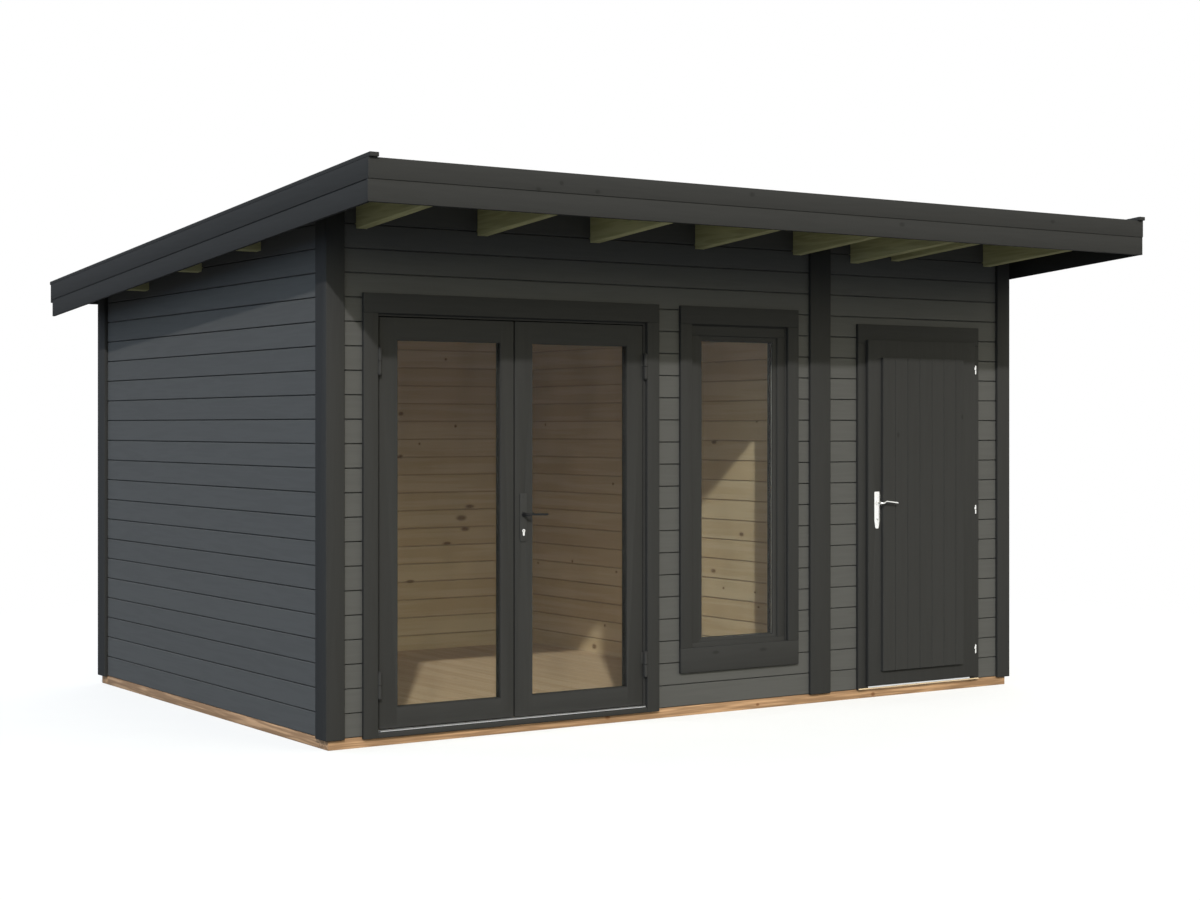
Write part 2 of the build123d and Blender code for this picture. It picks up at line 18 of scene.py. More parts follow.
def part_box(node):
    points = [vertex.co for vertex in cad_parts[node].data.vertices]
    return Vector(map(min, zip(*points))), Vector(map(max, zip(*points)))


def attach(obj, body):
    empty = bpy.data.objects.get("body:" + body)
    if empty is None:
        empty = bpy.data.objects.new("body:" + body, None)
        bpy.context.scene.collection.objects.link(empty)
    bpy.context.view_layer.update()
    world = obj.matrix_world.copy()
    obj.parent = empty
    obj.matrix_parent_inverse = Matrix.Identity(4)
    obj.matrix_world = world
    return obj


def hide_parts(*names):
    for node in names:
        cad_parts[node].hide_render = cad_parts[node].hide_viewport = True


LOG = logging.getLogger("garden_office")
WELD = 0.00002
FLAT_ANGLE = math.radians(0.5)
SHARP_ANGLE = math.radians(25)
SHADE_ANGLE = math.radians(40)
WHITE = (1.0, 1.0, 1.0, 1.0)
Colour = tuple[float, float, float]
Corners = tuple[Vector, Vector]

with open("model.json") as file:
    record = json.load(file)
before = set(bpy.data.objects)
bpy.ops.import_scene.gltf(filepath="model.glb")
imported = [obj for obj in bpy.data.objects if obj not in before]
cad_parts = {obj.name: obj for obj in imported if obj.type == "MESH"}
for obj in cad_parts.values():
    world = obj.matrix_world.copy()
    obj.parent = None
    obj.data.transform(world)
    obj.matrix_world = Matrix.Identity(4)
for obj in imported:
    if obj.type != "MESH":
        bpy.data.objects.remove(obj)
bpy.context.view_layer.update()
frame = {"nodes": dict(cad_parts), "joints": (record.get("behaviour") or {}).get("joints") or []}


class Axis(Enum):
    """A direction of the part's frame."""

    X = 0
    Y = 1
    Z = 2

    def unit(self) -> Vector:
        """Gives the direction as a vector of length one."""
        return Vector([1.0 if i == self.value else 0.0 for i in range(3)])


class Side(Enum):
    """The two faces of a door, by the direction they look along Y."""

    OUTER = -1
    INNER = 1


# Materials


class Nodes:
    """Short calls for the nodes of one material or world."""

    def __init__(self, tree: bpy.types.NodeTree) -> None:
        """Empties the tree.

        Args:
            tree: The node tree to fill.
        """
        self.tree = tree
        tree.nodes.clear()

    def add(self, kind: str, inputs: dict[Any, Any] | None = None, **settings: Any) -> bpy.types.Node:
        """Adds a node.

        Args:
            kind: The node's type name.
            inputs: Values or output sockets, by input name or number.
            **settings: Properties of the node.

        Returns:
            The new node.
        """
        node = self.tree.nodes.new(kind)
        for name, value in settings.items():
            setattr(node, name, value)
        for key, value in (inputs or {}).items():
            if isinstance(value, bpy.types.NodeSocket):
                self.tree.links.new(value, node.inputs[key])
            else:
                node.inputs[key].default_value = value
        return node

    def math(self, operation: str, *values: Any) -> bpy.types.NodeSocket:
        """Gives the result of a sum on numbers or sockets."""
        return self.add("ShaderNodeMath", dict(enumerate(values)), operation=operation).outputs[0]

    def vector(self, operation: str, *values: Any) -> bpy.types.NodeSocket:
        """Gives the result of a vector sum."""
        return self.add("ShaderNodeVectorMath", dict(enumerate(values)), operation=operation).outputs[0]

    def length(self, place: Any) -> bpy.types.NodeSocket:
        """Gives the length of a vector."""
        return self.add("ShaderNodeVectorMath", {0: place}, operation="LENGTH").outputs["Value"]

    def mix(self, share: Any, first: Any, second: Any) -> bpy.types.NodeSocket:
        """Gives a colour between two colours."""
        return self.add("ShaderNodeMix", {0: share, 6: first, 7: second}, data_type="RGBA").outputs[2]

    def noise(self, place: Any, scale: float, detail: float, roughness: float = 0.55) -> bpy.types.NodeSocket:
        """Gives a noise value at a place."""
        inputs = {"Vector": place, "Scale": scale, "Detail": detail, "Roughness": roughness}
        return self.add("ShaderNodeTexNoise", inputs).outputs[0]

    def step(self, value: Any, low: float, high: float) -> bpy.types.NodeSocket:
        """Gives a smooth rise from 0 to 1 between two values."""
        inputs = {0: value, 1: low, 2: high, 3: 0.0, 4: 1.0}
        return self.add("ShaderNodeMapRange", inputs, interpolation_type="SMOOTHSTEP").outputs[0]

    def place(self) -> bpy.types.NodeSocket:
        """Gives the Object coordinates."""
        return self.add("ShaderNodeTexCoord").outputs["Object"]

    def bump(self, height: Any, depth: float) -> bpy.types.NodeSocket:
        """Gives a normal roughened by a height."""
        inputs = {"Height": height, "Distance": depth, "Strength": 1.0}
        return self.add("ShaderNodeBump", inputs).outputs[0]

    def close(self, shader: bpy.types.Node, output: str = "ShaderNodeOutputMaterial") -> None:
        """Joins a shader to the output node."""
        self.add(output, {"Surface": shader.outputs[0]})


def made_once(name: str, fill: Callable[[Nodes], None]) -> bpy.types.Material:
    """Gives a material by its name, and makes it at the first call.

    Args:
        name: The material's name.
        fill: Adds the nodes to the empty material.

    Returns:
        The material.
    """
    material = bpy.data.materials.get(name)
    if material is None:
        material = bpy.data.materials.new(name)
        material.use_nodes = True
        fill(Nodes(material.node_tree))
    return material


def rgba(colour: Colour) -> tuple[float, float, float, float]:
    """Gives a colour with full cover."""
    return (*colour, 1.0)


def millimetres(length: float) -> int:
    """Gives a length in whole millimetres."""
    return round(length * 1000)


@dataclass(frozen=True)
class Lay:
    """How boards lie: along which axis the grain runs, and how they follow each other."""

    grain: Axis
    across: Axis
    pitch: float
    start: float = 0.0


@dataclass(frozen=True)
class Knot:
    """One knot at a chosen place, drawn out along the grain and some radii deep."""

    x: float
    y: float
    z: float
    radius: float = 0.011
    stretch: float = 1.5
    depth: float = 10.0
    core_share: float = 0.3


@dataclass(frozen=True)
class Timber:
    """A bare, stained or painted timber."""

    name: str
    light: Colour
    dark: Colour
    knot: Colour
    knot_share: float
    board_spread: float
    roughness: float
    specular: float
    grain_depth: float
    board_shift: float = 7.0
    grain_length: float = 0.55
    fibre_width: float = 0.004
    fibre_detail: float = 4.0
    fibre_roughness: float = 0.6
    figure_width: float = 0.035
    figure_detail: float = 2.0
    ring_count: float = 22.0
    ring_share: float = 0.55
    ring_relief_share: float = 0.3
    gloss_spread: float = 0.16
    knot_spacing: float = 0.17
    knot_depth_share: float = 0.2
    knot_radius_share: float = 0.085
    knot_core_share: float = 0.35
    knotless_share: float = 0.45
    groove_shade_share: float = 0.0
    groove_shade_half: float = 0.006
    groove_shade_core_share: float = 0.4

    def material(self, lay: Lay, chosen: tuple[Knot, ...] = ()) -> bpy.types.Material:
        """Gives this timber for boards that lie one way.

        Args:
            lay: The way the boards lie.
            chosen: Knots at chosen places, besides the scattered ones.

        Returns:
            The material, made once for each way and set of knots.
        """
        name = f"{self.name}_{lay.grain.name}_{lay.across.name}_{millimetres(lay.pitch)}"
        if chosen:
            name += f"_knots_{millimetres(chosen[0].x)}"
        return made_once(name, lambda n: self._fill(n, lay, chosen))

    def _fill(self, n: Nodes, lay: Lay, chosen: tuple[Knot, ...]) -> None:
        """Adds the grain, the knots and the painted shade in the grooves where boards meet.

        Args:
            n: The material's nodes.
            lay: The way the boards lie.
            chosen: Knots at chosen places.
        """
        place = n.place()
        split = n.add("ShaderNodeSeparateXYZ", {0: place})
        across = n.math("DIVIDE", n.math("SUBTRACT", split.outputs[lay.across.value], lay.start), lay.pitch)
        board = n.math("FLOOR", across)
        chance = n.add("ShaderNodeTexWhiteNoise", {"W": board}, noise_dimensions="1D")
        shift = n.vector("MULTIPLY", chance.outputs["Color"], (self.board_shift,) * 3)
        moved = n.vector("ADD", place, shift)
        drawn = self._stretched(n, moved, lay.grain, self.fibre_width)
        fibre = n.noise(drawn, 1.0, self.fibre_detail, self.fibre_roughness)
        swell = n.noise(self._stretched(n, moved, lay.grain, self.figure_width), 1.0, self.figure_detail)
        wave = n.math("SINE", n.math("MULTIPLY", swell, self.ring_count))
        rings = n.math("MULTIPLY_ADD", wave, 0.5, 0.5)
        between = n.math("MULTIPLY", fibre, 1.0 - self.ring_share)
        figure = n.math("MULTIPLY_ADD", rings, self.ring_share, between)
        board_tone = n.math("SUBTRACT", chance.outputs["Value"], 0.5)
        toned = n.math("MULTIPLY_ADD", board_tone, self.board_spread, figure)
        knots = self._knots(n, moved, lay)
        for knot in chosen:
            knots = n.math("MAXIMUM", knots, self._chosen_knot(n, place, lay, knot))
        colour = n.mix(n.step(toned, 0.0, 1.0), rgba(self.light), rgba(self.dark))
        colour = n.mix(n.math("MULTIPLY", knots, self.knot_share), colour, rgba(self.knot))
        # Painted shade: the grooves where boards meet are darkened towards the knots' colour.
        if self.groove_shade_share:
            joints = self._joints(n, n.math("SUBTRACT", across, board), lay.pitch)
            colour = n.mix(n.math("MULTIPLY", joints, self.groove_shade_share), colour, rgba(self.knot))
        ring_relief = n.math("MULTIPLY", rings, self.ring_relief_share)
        relief = n.math("MULTIPLY_ADD", fibre, 1.0 - self.ring_relief_share, ring_relief)
        dull = self.roughness - self.gloss_spread / 2
        n.close(n.add("ShaderNodeBsdfPrincipled", {
            "Base Color": colour,
            "Roughness": n.math("MULTIPLY_ADD", fibre, self.gloss_spread, dull),
            "Specular IOR Level": self.specular,
            "Normal": n.bump(n.math("SUBTRACT", relief, knots), self.grain_depth),
        }))

    def _stretched(self, n: Nodes, place: Any, grain: Axis, width: float) -> bpy.types.NodeSocket:
        """Squeezes a place along the grain.

        Args:
            n: The material's nodes.
            place: The place to squeeze.
            grain: The axis of the grain.
            width: The width of the pattern across the grain.

        Returns:
            The squeezed place.
        """
        scale = [1.0 / width] * 3
        scale[grain.value] = 1.0 / self.grain_length
        return n.vector("MULTIPLY", place, tuple(scale))

    def _joints(self, n: Nodes, along: Any, pitch: float) -> bpy.types.NodeSocket:
        """Masks the lines where two boards meet, where shade is painted into the grooves.

        Args:
            n: The material's nodes.
            along: The place across a board, from 0 to 1.
            pitch: The boards' width.

        Returns:
            A mask that is 1 on the lines.
        """
        nearest = n.math("MINIMUM", along, n.math("SUBTRACT", 1.0, along))
        edge = n.math("MULTIPLY", nearest, pitch)
        return n.step(edge, self.groove_shade_half, self.groove_shade_half * self.groove_shade_core_share)

    @staticmethod
    def _chosen_knot(n: Nodes, place: Any, lay: Lay, knot: Knot) -> bpy.types.NodeSocket:
        """Masks one knot that reaches through its board.

        Args:
            n: The material's nodes.
            place: The place in the part's frame.
            lay: The way the boards lie.
            knot: The knot.

        Returns:
            A mask that is 1 at the knot's core.
        """
        scale = [1.0 / (knot.radius * knot.depth)] * 3
        scale[lay.across.value] = 1.0 / knot.radius
        scale[lay.grain.value] = 1.0 / (knot.radius * knot.stretch)
        offset = n.vector("MULTIPLY", n.vector("SUBTRACT", place, (knot.x, knot.y, knot.z)), tuple(scale))
        return n.step(n.length(offset), 1.0, knot.core_share)

    def _knots(self, n: Nodes, place: Any, lay: Lay) -> bpy.types.NodeSocket:
        """Masks scattered round knots.

        Args:
            n: The material's nodes.
            place: The place, moved for each board.
            lay: The way the boards lie.

        Returns:
            A mask that is 1 at each knot's core.
        """
        scale = [self.knot_depth_share / self.knot_spacing] * 3
        scale[lay.grain.value] = scale[lay.across.value] = 1.0 / self.knot_spacing
        spread = n.vector("MULTIPLY", place, tuple(scale))
        cells = n.add("ShaderNodeTexVoronoi", {"Vector": spread, "Scale": 1.0})
        chance = n.add("ShaderNodeSeparateColor", {0: cells.outputs["Color"]}).outputs[0]
        core = self.knot_radius_share * self.knot_core_share
        near = n.step(cells.outputs["Distance"], self.knot_radius_share, core)
        return n.math("MULTIPLY", near, n.math("GREATER_THAN", chance, self.knotless_share))


@dataclass(frozen=True)
class Metal:
    """A coated or bare metal with fine brush marks."""

    name: str
    colour: Colour
    shade: Colour
    metallic: float
    roughness: float
    specular: float = 0.5
    brush: Axis = Axis.Z
    marks_across: float = 1400.0
    marks_along: float = 40.0
    mark_detail: float = 3.0
    mark_depth: float = 0.00004
    cloud_scale: float = 60.0
    gloss_spread: float = 0.2

    def material(self) -> bpy.types.Material:
        """Gives the metal's material, made once."""
        return made_once(self.name, self._fill)

    def _fill(self, n: Nodes) -> None:
        """Adds the brush marks and a faint cloud.

        Args:
            n: The material's nodes.
        """
        scale = [self.marks_across] * 3
        scale[self.brush.value] = self.marks_along
        place = n.place()
        marks = n.noise(n.vector("MULTIPLY", place, tuple(scale)), 1.0, self.mark_detail)
        cloud = n.noise(place, self.cloud_scale, self.mark_detail)
        dull = self.roughness - self.gloss_spread / 2
        n.close(n.add("ShaderNodeBsdfPrincipled", {
            "Base Color": n.mix(cloud, rgba(self.colour), rgba(self.shade)),
            "Metallic": self.metallic,
            "Roughness": n.math("MULTIPLY_ADD", marks, self.gloss_spread, dull),
            "Specular IOR Level": self.specular,
            "Normal": n.bump(marks, self.mark_depth),
        }))


@dataclass(frozen=True)
class Felt:
    """Mineral roofing felt with a stone grit."""

    name: str = "mineral_felt"
    colour: Colour = (0.060, 0.060, 0.063)
    grit: Colour = (0.135, 0.135, 0.138)
    grain_scale: float = 420.0
    grain_depth: float = 0.0008
    grain_share: float = 0.7
    patch_scale: float = 2.2
    patch_detail: float = 5.0
    patch_share: float = 0.4
    tone_limits: tuple[float, float] = (0.2, 0.9)
    roughness: float = 0.85
    gloss_spread: float = 0.1
    specular: float = 0.25

    def material(self) -> bpy.types.Material:
        """Gives the felt's material, made once."""
        return made_once(self.name, self._fill)

    def _fill(self, n: Nodes) -> None:
        """Adds the grit and the weathered patches.

        Args:
            n: The material's nodes.
        """
        place = n.place()
        stones = n.add("ShaderNodeTexVoronoi", {"Vector": place, "Scale": self.grain_scale})
        grains = stones.outputs["Distance"]
        patches = n.noise(place, self.patch_scale, self.patch_detail)
        tone = n.math("MULTIPLY_ADD", grains, self.grain_share, n.math("MULTIPLY", patches, self.patch_share))
        n.close(n.add("ShaderNodeBsdfPrincipled", {
            "Base Color": n.mix(n.step(tone, *self.tone_limits), rgba(self.colour), rgba(self.grit)),
            "Roughness": n.math("MULTIPLY_ADD", patches, self.gloss_spread, self.roughness),
            "Specular IOR Level": self.specular,
            "Normal": n.bump(grains, self.grain_depth),
        }))


@dataclass(frozen=True)
class Rubber:
    """The dark seal around panes and leaves."""

    name: str = "seal_rubber"
    colour: Colour = (0.012, 0.012, 0.012)
    worn: Colour = (0.024, 0.024, 0.024)
    cloud_scale: float = 90.0
    cloud_detail: float = 4.0
    roughness: float = 0.6
    gloss_spread: float = 0.15
    specular: float = 0.3

    def material(self) -> bpy.types.Material:
        """Gives the seal's material, made once."""
        return made_once(self.name, self._fill)

    def _fill(self, n: Nodes) -> None:
        """Adds the worn patches.

        Args:
            n: The material's nodes.
        """
        cloud = n.noise(n.place(), self.cloud_scale, self.cloud_detail)
        n.close(n.add("ShaderNodeBsdfPrincipled", {
            "Base Color": n.mix(cloud, rgba(self.colour), rgba(self.worn)),
            "Roughness": n.math("MULTIPLY_ADD", cloud, self.gloss_spread, self.roughness),
            "Specular IOR Level": self.specular,
        }))


@dataclass(frozen=True)
class ClearGlass:
    """Float glass that lets light through and mirrors a little."""

    name: str = "float_glass"
    tint: Colour = (0.955, 0.965, 0.955)
    smear: Colour = (0.925, 0.935, 0.925)
    smear_scale: tuple[float, float, float] = (3.0, 3.0, 1.2)
    smear_detail: float = 4.0
    smear_limits: tuple[float, float] = (0.35, 0.8)
    mirror_ior: float = 1.18
    mirror_roughness: float = 0.02

    def material(self) -> bpy.types.Material:
        """Gives the glass, made once."""
        return made_once(self.name, self._fill)

    def _fill(self, n: Nodes) -> None:
        """Adds the clear glass, its mirror and faint smears where it was wiped.

        Args:
            n: The material's nodes.
        """
        wiped = n.noise(n.vector("MULTIPLY", n.place(), self.smear_scale), 1.0, self.smear_detail)
        colour = n.mix(n.step(wiped, *self.smear_limits), rgba(self.tint), rgba(self.smear))
        clear = n.add("ShaderNodeBsdfTransparent", {"Color": colour})
        mirror = n.add("ShaderNodeBsdfGlossy", {"Color": WHITE, "Roughness": self.mirror_roughness})
        share = n.add("ShaderNodeFresnel", {"IOR": self.mirror_ior})
        mixed = {0: share.outputs[0], 1: clear.outputs[0], 2: mirror.outputs[0]}
        n.close(n.add("ShaderNodeMixShader", mixed))


@dataclass(frozen=True)
class Palette:
    """Every finish on the building."""

    wall_paint: Timber = Timber(
        name="wall_paint", light=(0.0850, 0.0853, 0.0850), dark=(0.0788, 0.0790, 0.0788),
        knot=(0.075, 0.075, 0.072), knot_share=0.3, board_spread=0.5,
        roughness=0.8, specular=0.02, grain_depth=0.00008,
    )
    trim_paint: Timber = Timber(
        name="trim_paint", light=(0.0366, 0.0367, 0.0372), dark=(0.0345, 0.0346, 0.0350),
        knot=(0.017, 0.017, 0.017), knot_share=0.5, board_spread=0.4,
        roughness=0.78, specular=0.02, grain_depth=0.00006, knot_spacing=0.3, knot_radius_share=0.03,
    )
    # Bare pine, with painted shade in the grooves between its boards.
    pine: Timber = Timber(
        name="bare_pine", light=(0.775, 0.622, 0.44), dark=(0.675, 0.508, 0.328),
        knot=(0.19, 0.095, 0.04), knot_share=0.8, board_spread=0.5,
        roughness=0.7, specular=0.08, grain_depth=0.00012, grain_length=1.1, figure_width=0.05,
        ring_count=13.0, knot_spacing=0.2, knot_radius_share=0.07, groove_shade_share=0.3,
    )
    floor_pine: Timber = Timber(
        name="floor_pine", light=(0.74, 0.545, 0.385), dark=(0.64, 0.445, 0.295),
        knot=(0.19, 0.095, 0.04), knot_share=0.8, board_spread=0.5,
        roughness=0.6, specular=0.1, grain_depth=0.00012, grain_length=1.1, figure_width=0.05,
        ring_count=13.0, knot_spacing=0.2, knot_radius_share=0.07,
    )
    treated: Timber = Timber(
        name="treated_timber", light=(0.465, 0.45, 0.25), dark=(0.35, 0.336, 0.18),
        knot=(0.14, 0.12, 0.06), knot_share=0.5, board_spread=0.4,
        roughness=0.85, specular=0.02, grain_depth=0.0004,
    )
    brown: Timber = Timber(
        name="brown_timber", light=(0.54, 0.335, 0.197), dark=(0.255, 0.155, 0.09),
        knot=(0.15, 0.065, 0.03), knot_share=0.8, board_spread=0.5,
        roughness=0.75, specular=0.05, grain_depth=0.0003, grain_length=0.5, figure_width=0.022,
        ring_count=16.0,
    )
    dark_metal: Metal = Metal(
        name="dark_coat", colour=(0.040, 0.040, 0.0405), shade=(0.0365, 0.0365, 0.037),
        metallic=0.0, roughness=0.6, specular=0.04,
    )
    lever_coat: Metal = Metal(
        name="lever_coat", colour=(0.017, 0.017, 0.018), shade=(0.012, 0.012, 0.013),
        metallic=0.0, roughness=0.45, specular=0.12,
    )
    steel: Metal = Metal(
        name="satin_steel", colour=(0.98, 0.98, 0.96), shade=(0.92, 0.92, 0.90),
        metallic=0.85, roughness=0.25,
    )
    aluminium: Metal = Metal(
        name="mill_aluminium", colour=(0.86, 0.87, 0.87), shade=(0.76, 0.77, 0.78),
        metallic=1.0, roughness=0.4, brush=Axis.X,
    )
    felt: Felt = Felt()
    seal: Rubber = Rubber()
    glass: ClearGlass = ClearGlass()


PAINTS = Palette()
TRIM_BOARD = 0.24
UPRIGHT = Lay(Axis.Z, Axis.X, TRIM_BOARD)
LEVEL = Lay(Axis.X, Axis.Z, TRIM_BOARD)
DEEP = Lay(Axis.Y, Axis.Z, TRIM_BOARD)


# Meshes


def joint_place(name: str) -> tuple[float, float, float]:
    """Gives the place of one of the frame's joints."""
    return tuple(next(joint["pos_m"] for joint in frame["joints"] if joint["name"] == name))


def merged_copy(node: str) -> bmesh.types.BMesh:
    """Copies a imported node, with its doubles merged and its flat faces joined.

    Args:
        node: The node's name.

    Returns:
        The copy.
    """
    shape = bmesh.new()
    shape.from_mesh(frame["nodes"][node].data)
    bmesh.ops.remove_doubles(shape, verts=shape.verts, dist=WELD)
    bmesh.ops.dissolve_limit(shape, angle_limit=FLAT_ANGLE, verts=shape.verts, edges=shape.edges)
    return shape


def solid_corners(node: str) -> list[Corners]:
    """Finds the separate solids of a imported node.

    Args:
        node: The node's name.

    Returns:
        The low and high corner of each solid, from left to right.
    """
    shape = merged_copy(node)
    left = set(shape.verts)
    found = []
    while left:
        group, edge = set(), [left.pop()]
        while edge:
            vert = edge.pop()
            group.add(vert)
            near = {e.other_vert(vert) for e in vert.link_edges} & left
            left -= near
            edge.extend(near)
        points = [v.co for v in group]
        low = Vector([min(p[i] for p in points) for i in range(3)])
        found.append((low, Vector([max(p[i] for p in points) for i in range(3)])))
    shape.free()
    return sorted(found, key=lambda pair: tuple(round(c, 4) for c in pair[0]))


def soften(shape: bmesh.types.BMesh, width: float) -> None:
    """Rounds the sharp edges of a shape.

    Args:
        shape: The shape.
        width: How far the rounding reaches from each edge.
    """
    sharp = [e for e in shape.edges if len(e.link_faces) == 2 and e.calc_face_angle(0.0) > SHARP_ANGLE]
    bmesh.ops.bevel(
        shape, geom=sharp, offset=width, offset_type="OFFSET", segments=2, profile=0.5,
        affect="EDGES", clamp_overlap=True,
    )


class Shell:
    """Gathers closed shapes into the mesh of one piece."""

    round_sides = 16

    def __init__(self) -> None:
        """Starts with no shape."""
        self.mesh = bmesh.new()

    def take(self, shape: bmesh.types.BMesh, finish: int = 0, smooth: bool = False) -> None:
        """Adds a shape and frees it.

        Args:
            shape: A closed shape in the part's frame.
            finish: The number of its material in the piece.
            smooth: Whether its faces are shaded as round ones.
        """
        bmesh.ops.recalc_face_normals(shape, faces=shape.faces)
        for face in shape.faces:
            face.material_index = finish
            face.smooth = smooth
        carrier = bpy.data.meshes.new("shape")
        shape.to_mesh(carrier)
        shape.free()
        self.mesh.from_mesh(carrier)
        bpy.data.meshes.remove(carrier)

    def board(self, low: Vector, high: Vector, soft: float, finish: int = 0) -> None:
        """Adds a block with rounded edges.

        Args:
            low: Its low corner.
            high: Its high corner.
            soft: The width of the rounding.
            finish: The number of its material.
        """
        shape = bmesh.new()
        bmesh.ops.create_cube(shape, size=1.0)
        middle, size = (low + high) / 2, high - low
        for vert in shape.verts:
            vert.co = middle + Vector([a * b for a, b in zip(vert.co, size)])
        soften(shape, soft)
        self.take(shape, finish)

    def prism(self, outline: list[Vector], reach: Vector, soft: float = 0.0) -> None:
        """Adds an outline drawn out along a vector.

        Args:
            outline: The points of a flat outline.
            reach: The direction and length of the draw.
            soft: The width of the rounding, or zero for sharp edges.
        """
        shape = bmesh.new()
        face = shape.faces.new([shape.verts.new(point) for point in outline])
        drawn = bmesh.ops.extrude_face_region(shape, geom=[face])["geom"]
        far = [v for v in drawn if isinstance(v, bmesh.types.BMVert)]
        bmesh.ops.translate(shape, verts=far, vec=reach)
        bmesh.ops.recalc_face_normals(shape, faces=shape.faces)
        if soft:
            soften(shape, soft)
        self.take(shape)

    def copy(self, node: str, soft: float) -> None:
        """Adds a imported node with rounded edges.

        Args:
            node: The node's name.
            soft: The width of the rounding.
        """
        shape = merged_copy(node)
        soften(shape, soft)
        self.take(shape)

    def level_between(self, left: float, right: float) -> None:
        """Gives the second finish to what lies between two upright planes.

        Args:
            left: The X of the left plane.
            right: The X of the right plane.
        """
        for x in (left, right):
            everything = list(self.mesh.verts) + list(self.mesh.edges) + list(self.mesh.faces)
            bmesh.ops.bisect_plane(self.mesh, geom=everything, plane_co=(x, 0, 0), plane_no=(1, 0, 0))
        for face in self.mesh.faces:
            if left < face.calc_center_median().x < right:
                face.material_index = 1

    def sweep(self, path: list[Vector], halves: list[tuple[float, float]], up: Vector,
              finish: int = 0) -> None:
        """Adds a bar with an oval section along a path.

        Args:
            path: The points of its centreline.
            halves: Half the width and half the height at each point.
            up: The direction of the height.
            finish: The number of its material.
        """
        sides = self.round_sides
        turns = [2 * math.pi * k / sides for k in range(sides)]
        shape = bmesh.new()
        rings = []
        for i, (point, (wide, tall)) in enumerate(zip(path, halves)):
            along = (path[min(i + 1, len(path) - 1)] - path[max(i - 1, 0)]).normalized()
            across = along.cross(up).normalized()
            rise = across.cross(along)
            spots = [point + across * wide * math.cos(t) + rise * tall * math.sin(t) for t in turns]
            rings.append([shape.verts.new(spot) for spot in spots])
        for first, second in zip(rings, rings[1:]):
            for k in range(sides):
                shape.faces.new([first[k], first[(k + 1) % sides], second[(k + 1) % sides], second[k]])
        shape.faces.new(rings[0])
        shape.faces.new(list(reversed(rings[-1])))
        self.take(shape, finish, smooth=True)

    def turned(self, centre: Vector, axis: Vector, profile: list[tuple[float, float]],
               finish: int = 0) -> None:
        """Adds a turned shape.

        Args:
            centre: Where the axis starts.
            axis: The axis, of length one.
            profile: Radius and distance along the axis, from one end to the other.
            finish: The number of its material.
        """
        up = Axis.X.unit() if abs(axis.x) < 0.5 else Axis.Z.unit()
        path = [centre + axis * along for _, along in profile]
        self.sweep(path, [(radius, radius) for radius, _ in profile], up, finish)

    def piece(self, name: str, materials: list[bpy.types.Material]) -> bpy.types.Object:
        """Makes the piece and frees the shapes.

        Args:
            name: The piece's name.
            materials: Its finishes, in the order of their numbers.

        Returns:
            The piece.
        """
        mesh = bpy.data.meshes.new(name)
        self.mesh.to_mesh(mesh)
        self.mesh.free()
        for material in materials:
            mesh.materials.append(material)
        mesh.set_sharp_from_angle(angle=SHADE_ANGLE)
        return show(name, mesh)


def show(name: str, mesh: bpy.types.Mesh) -> bpy.types.Object:
    """Puts a mesh into the scene.

    Args:
        name: The object's name.
        mesh: The mesh, in the part's frame.

    Returns:
        The object, at the origin.
    """
    thing = bpy.data.objects.new(name, mesh)
    bpy.context.scene.collection.objects.link(thing)
    return thing


def seat(piece: bpy.types.Object, body: str, slot: str, *nodes: str) -> None:
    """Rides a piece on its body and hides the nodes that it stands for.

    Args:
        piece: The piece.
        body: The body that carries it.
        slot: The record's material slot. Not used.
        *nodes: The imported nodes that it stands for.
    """
    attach(piece, body)
    if nodes:
        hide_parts(*nodes)
    LOG.info("%s rides on %s with %d faces", piece.name, body, len(piece.data.polygons))


def dress(node: str, material: bpy.types.Material) -> None:
    """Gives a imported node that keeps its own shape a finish."""
    frame["nodes"][node].material_slots[0].material = material
    LOG.info("%s keeps its shape", node)


def eased(name: str, node: str, body: str, slot: str, edge: float, material: bpy.types.Material) -> None:
    """Builds a packed timber with eased edges.

    Args:
        name: The piece's name.
        node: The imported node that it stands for.
        body: The body that carries it.
        slot: The record's material slot.
        edge: The width of the easing.
        material: Its finish.
    """
    shell = Shell()
    shell.copy(node, edge)
    seat(shell.piece(name, [material]), body, slot, node)


def baked(host: bpy.types.Object, tree: bpy.types.NodeTree, inputs: dict[str, Any]) -> bpy.types.Mesh:
    """Runs a node tree on an object and keeps the result as a plain mesh.

    Args:
        host: The object that carries the tree. It is removed.
        tree: The geometry node tree.
        inputs: Values for the tree's named inputs.

    Returns:
        The finished mesh.
    """
    modifier = host.modifiers.new("build", "NODES")
    modifier.node_group = tree
    for item in tree.interface.items_tree:
        if item.in_out == "INPUT" and item.name in inputs:
            modifier[item.identifier] = inputs[item.name]
    return settled(host)


def settled(host: bpy.types.Object) -> bpy.types.Mesh:
    """Applies an object's modifiers and removes the object.

    Args:
        host: The object.

    Returns:
        Its finished mesh.
    """
    bpy.context.view_layer.update()
    graph = bpy.context.evaluated_depsgraph_get()
    mesh = bpy.data.meshes.new_from_object(host.evaluated_get(graph))
    bpy.data.objects.remove(host)
    return mesh


def carved(mesh: bpy.types.Mesh, tool: bpy.types.Mesh, operation: str) -> bpy.types.Mesh:
    """Cuts a mesh by another closed mesh, or keeps what lies inside it.

    Args:
        mesh: The mesh to cut.
        tool: The cutting mesh.
        operation: The name of the boolean operation.

    Returns:
        The mesh that is left.
    """
    host, cutter = show("carved", mesh), show("cutter", tool)
    cut = host.modifiers.new("cut", "BOOLEAN")
    cut.operation, cut.solver, cut.object = operation, "EXACT", cutter
    result = settled(host)
    bpy.data.objects.remove(cutter)
    return result


def plain_mesh(shape: bmesh.types.BMesh) -> bpy.types.Mesh:
    """Turns a shape into a mesh and frees it.

    Args:
        shape: The shape.

    Returns:
        The mesh.
    """
    mesh = bpy.data.meshes.new("tool")
    bmesh.ops.recalc_face_normals(shape, faces=shape.faces)
    shape.to_mesh(mesh)
    shape.free()
    return mesh


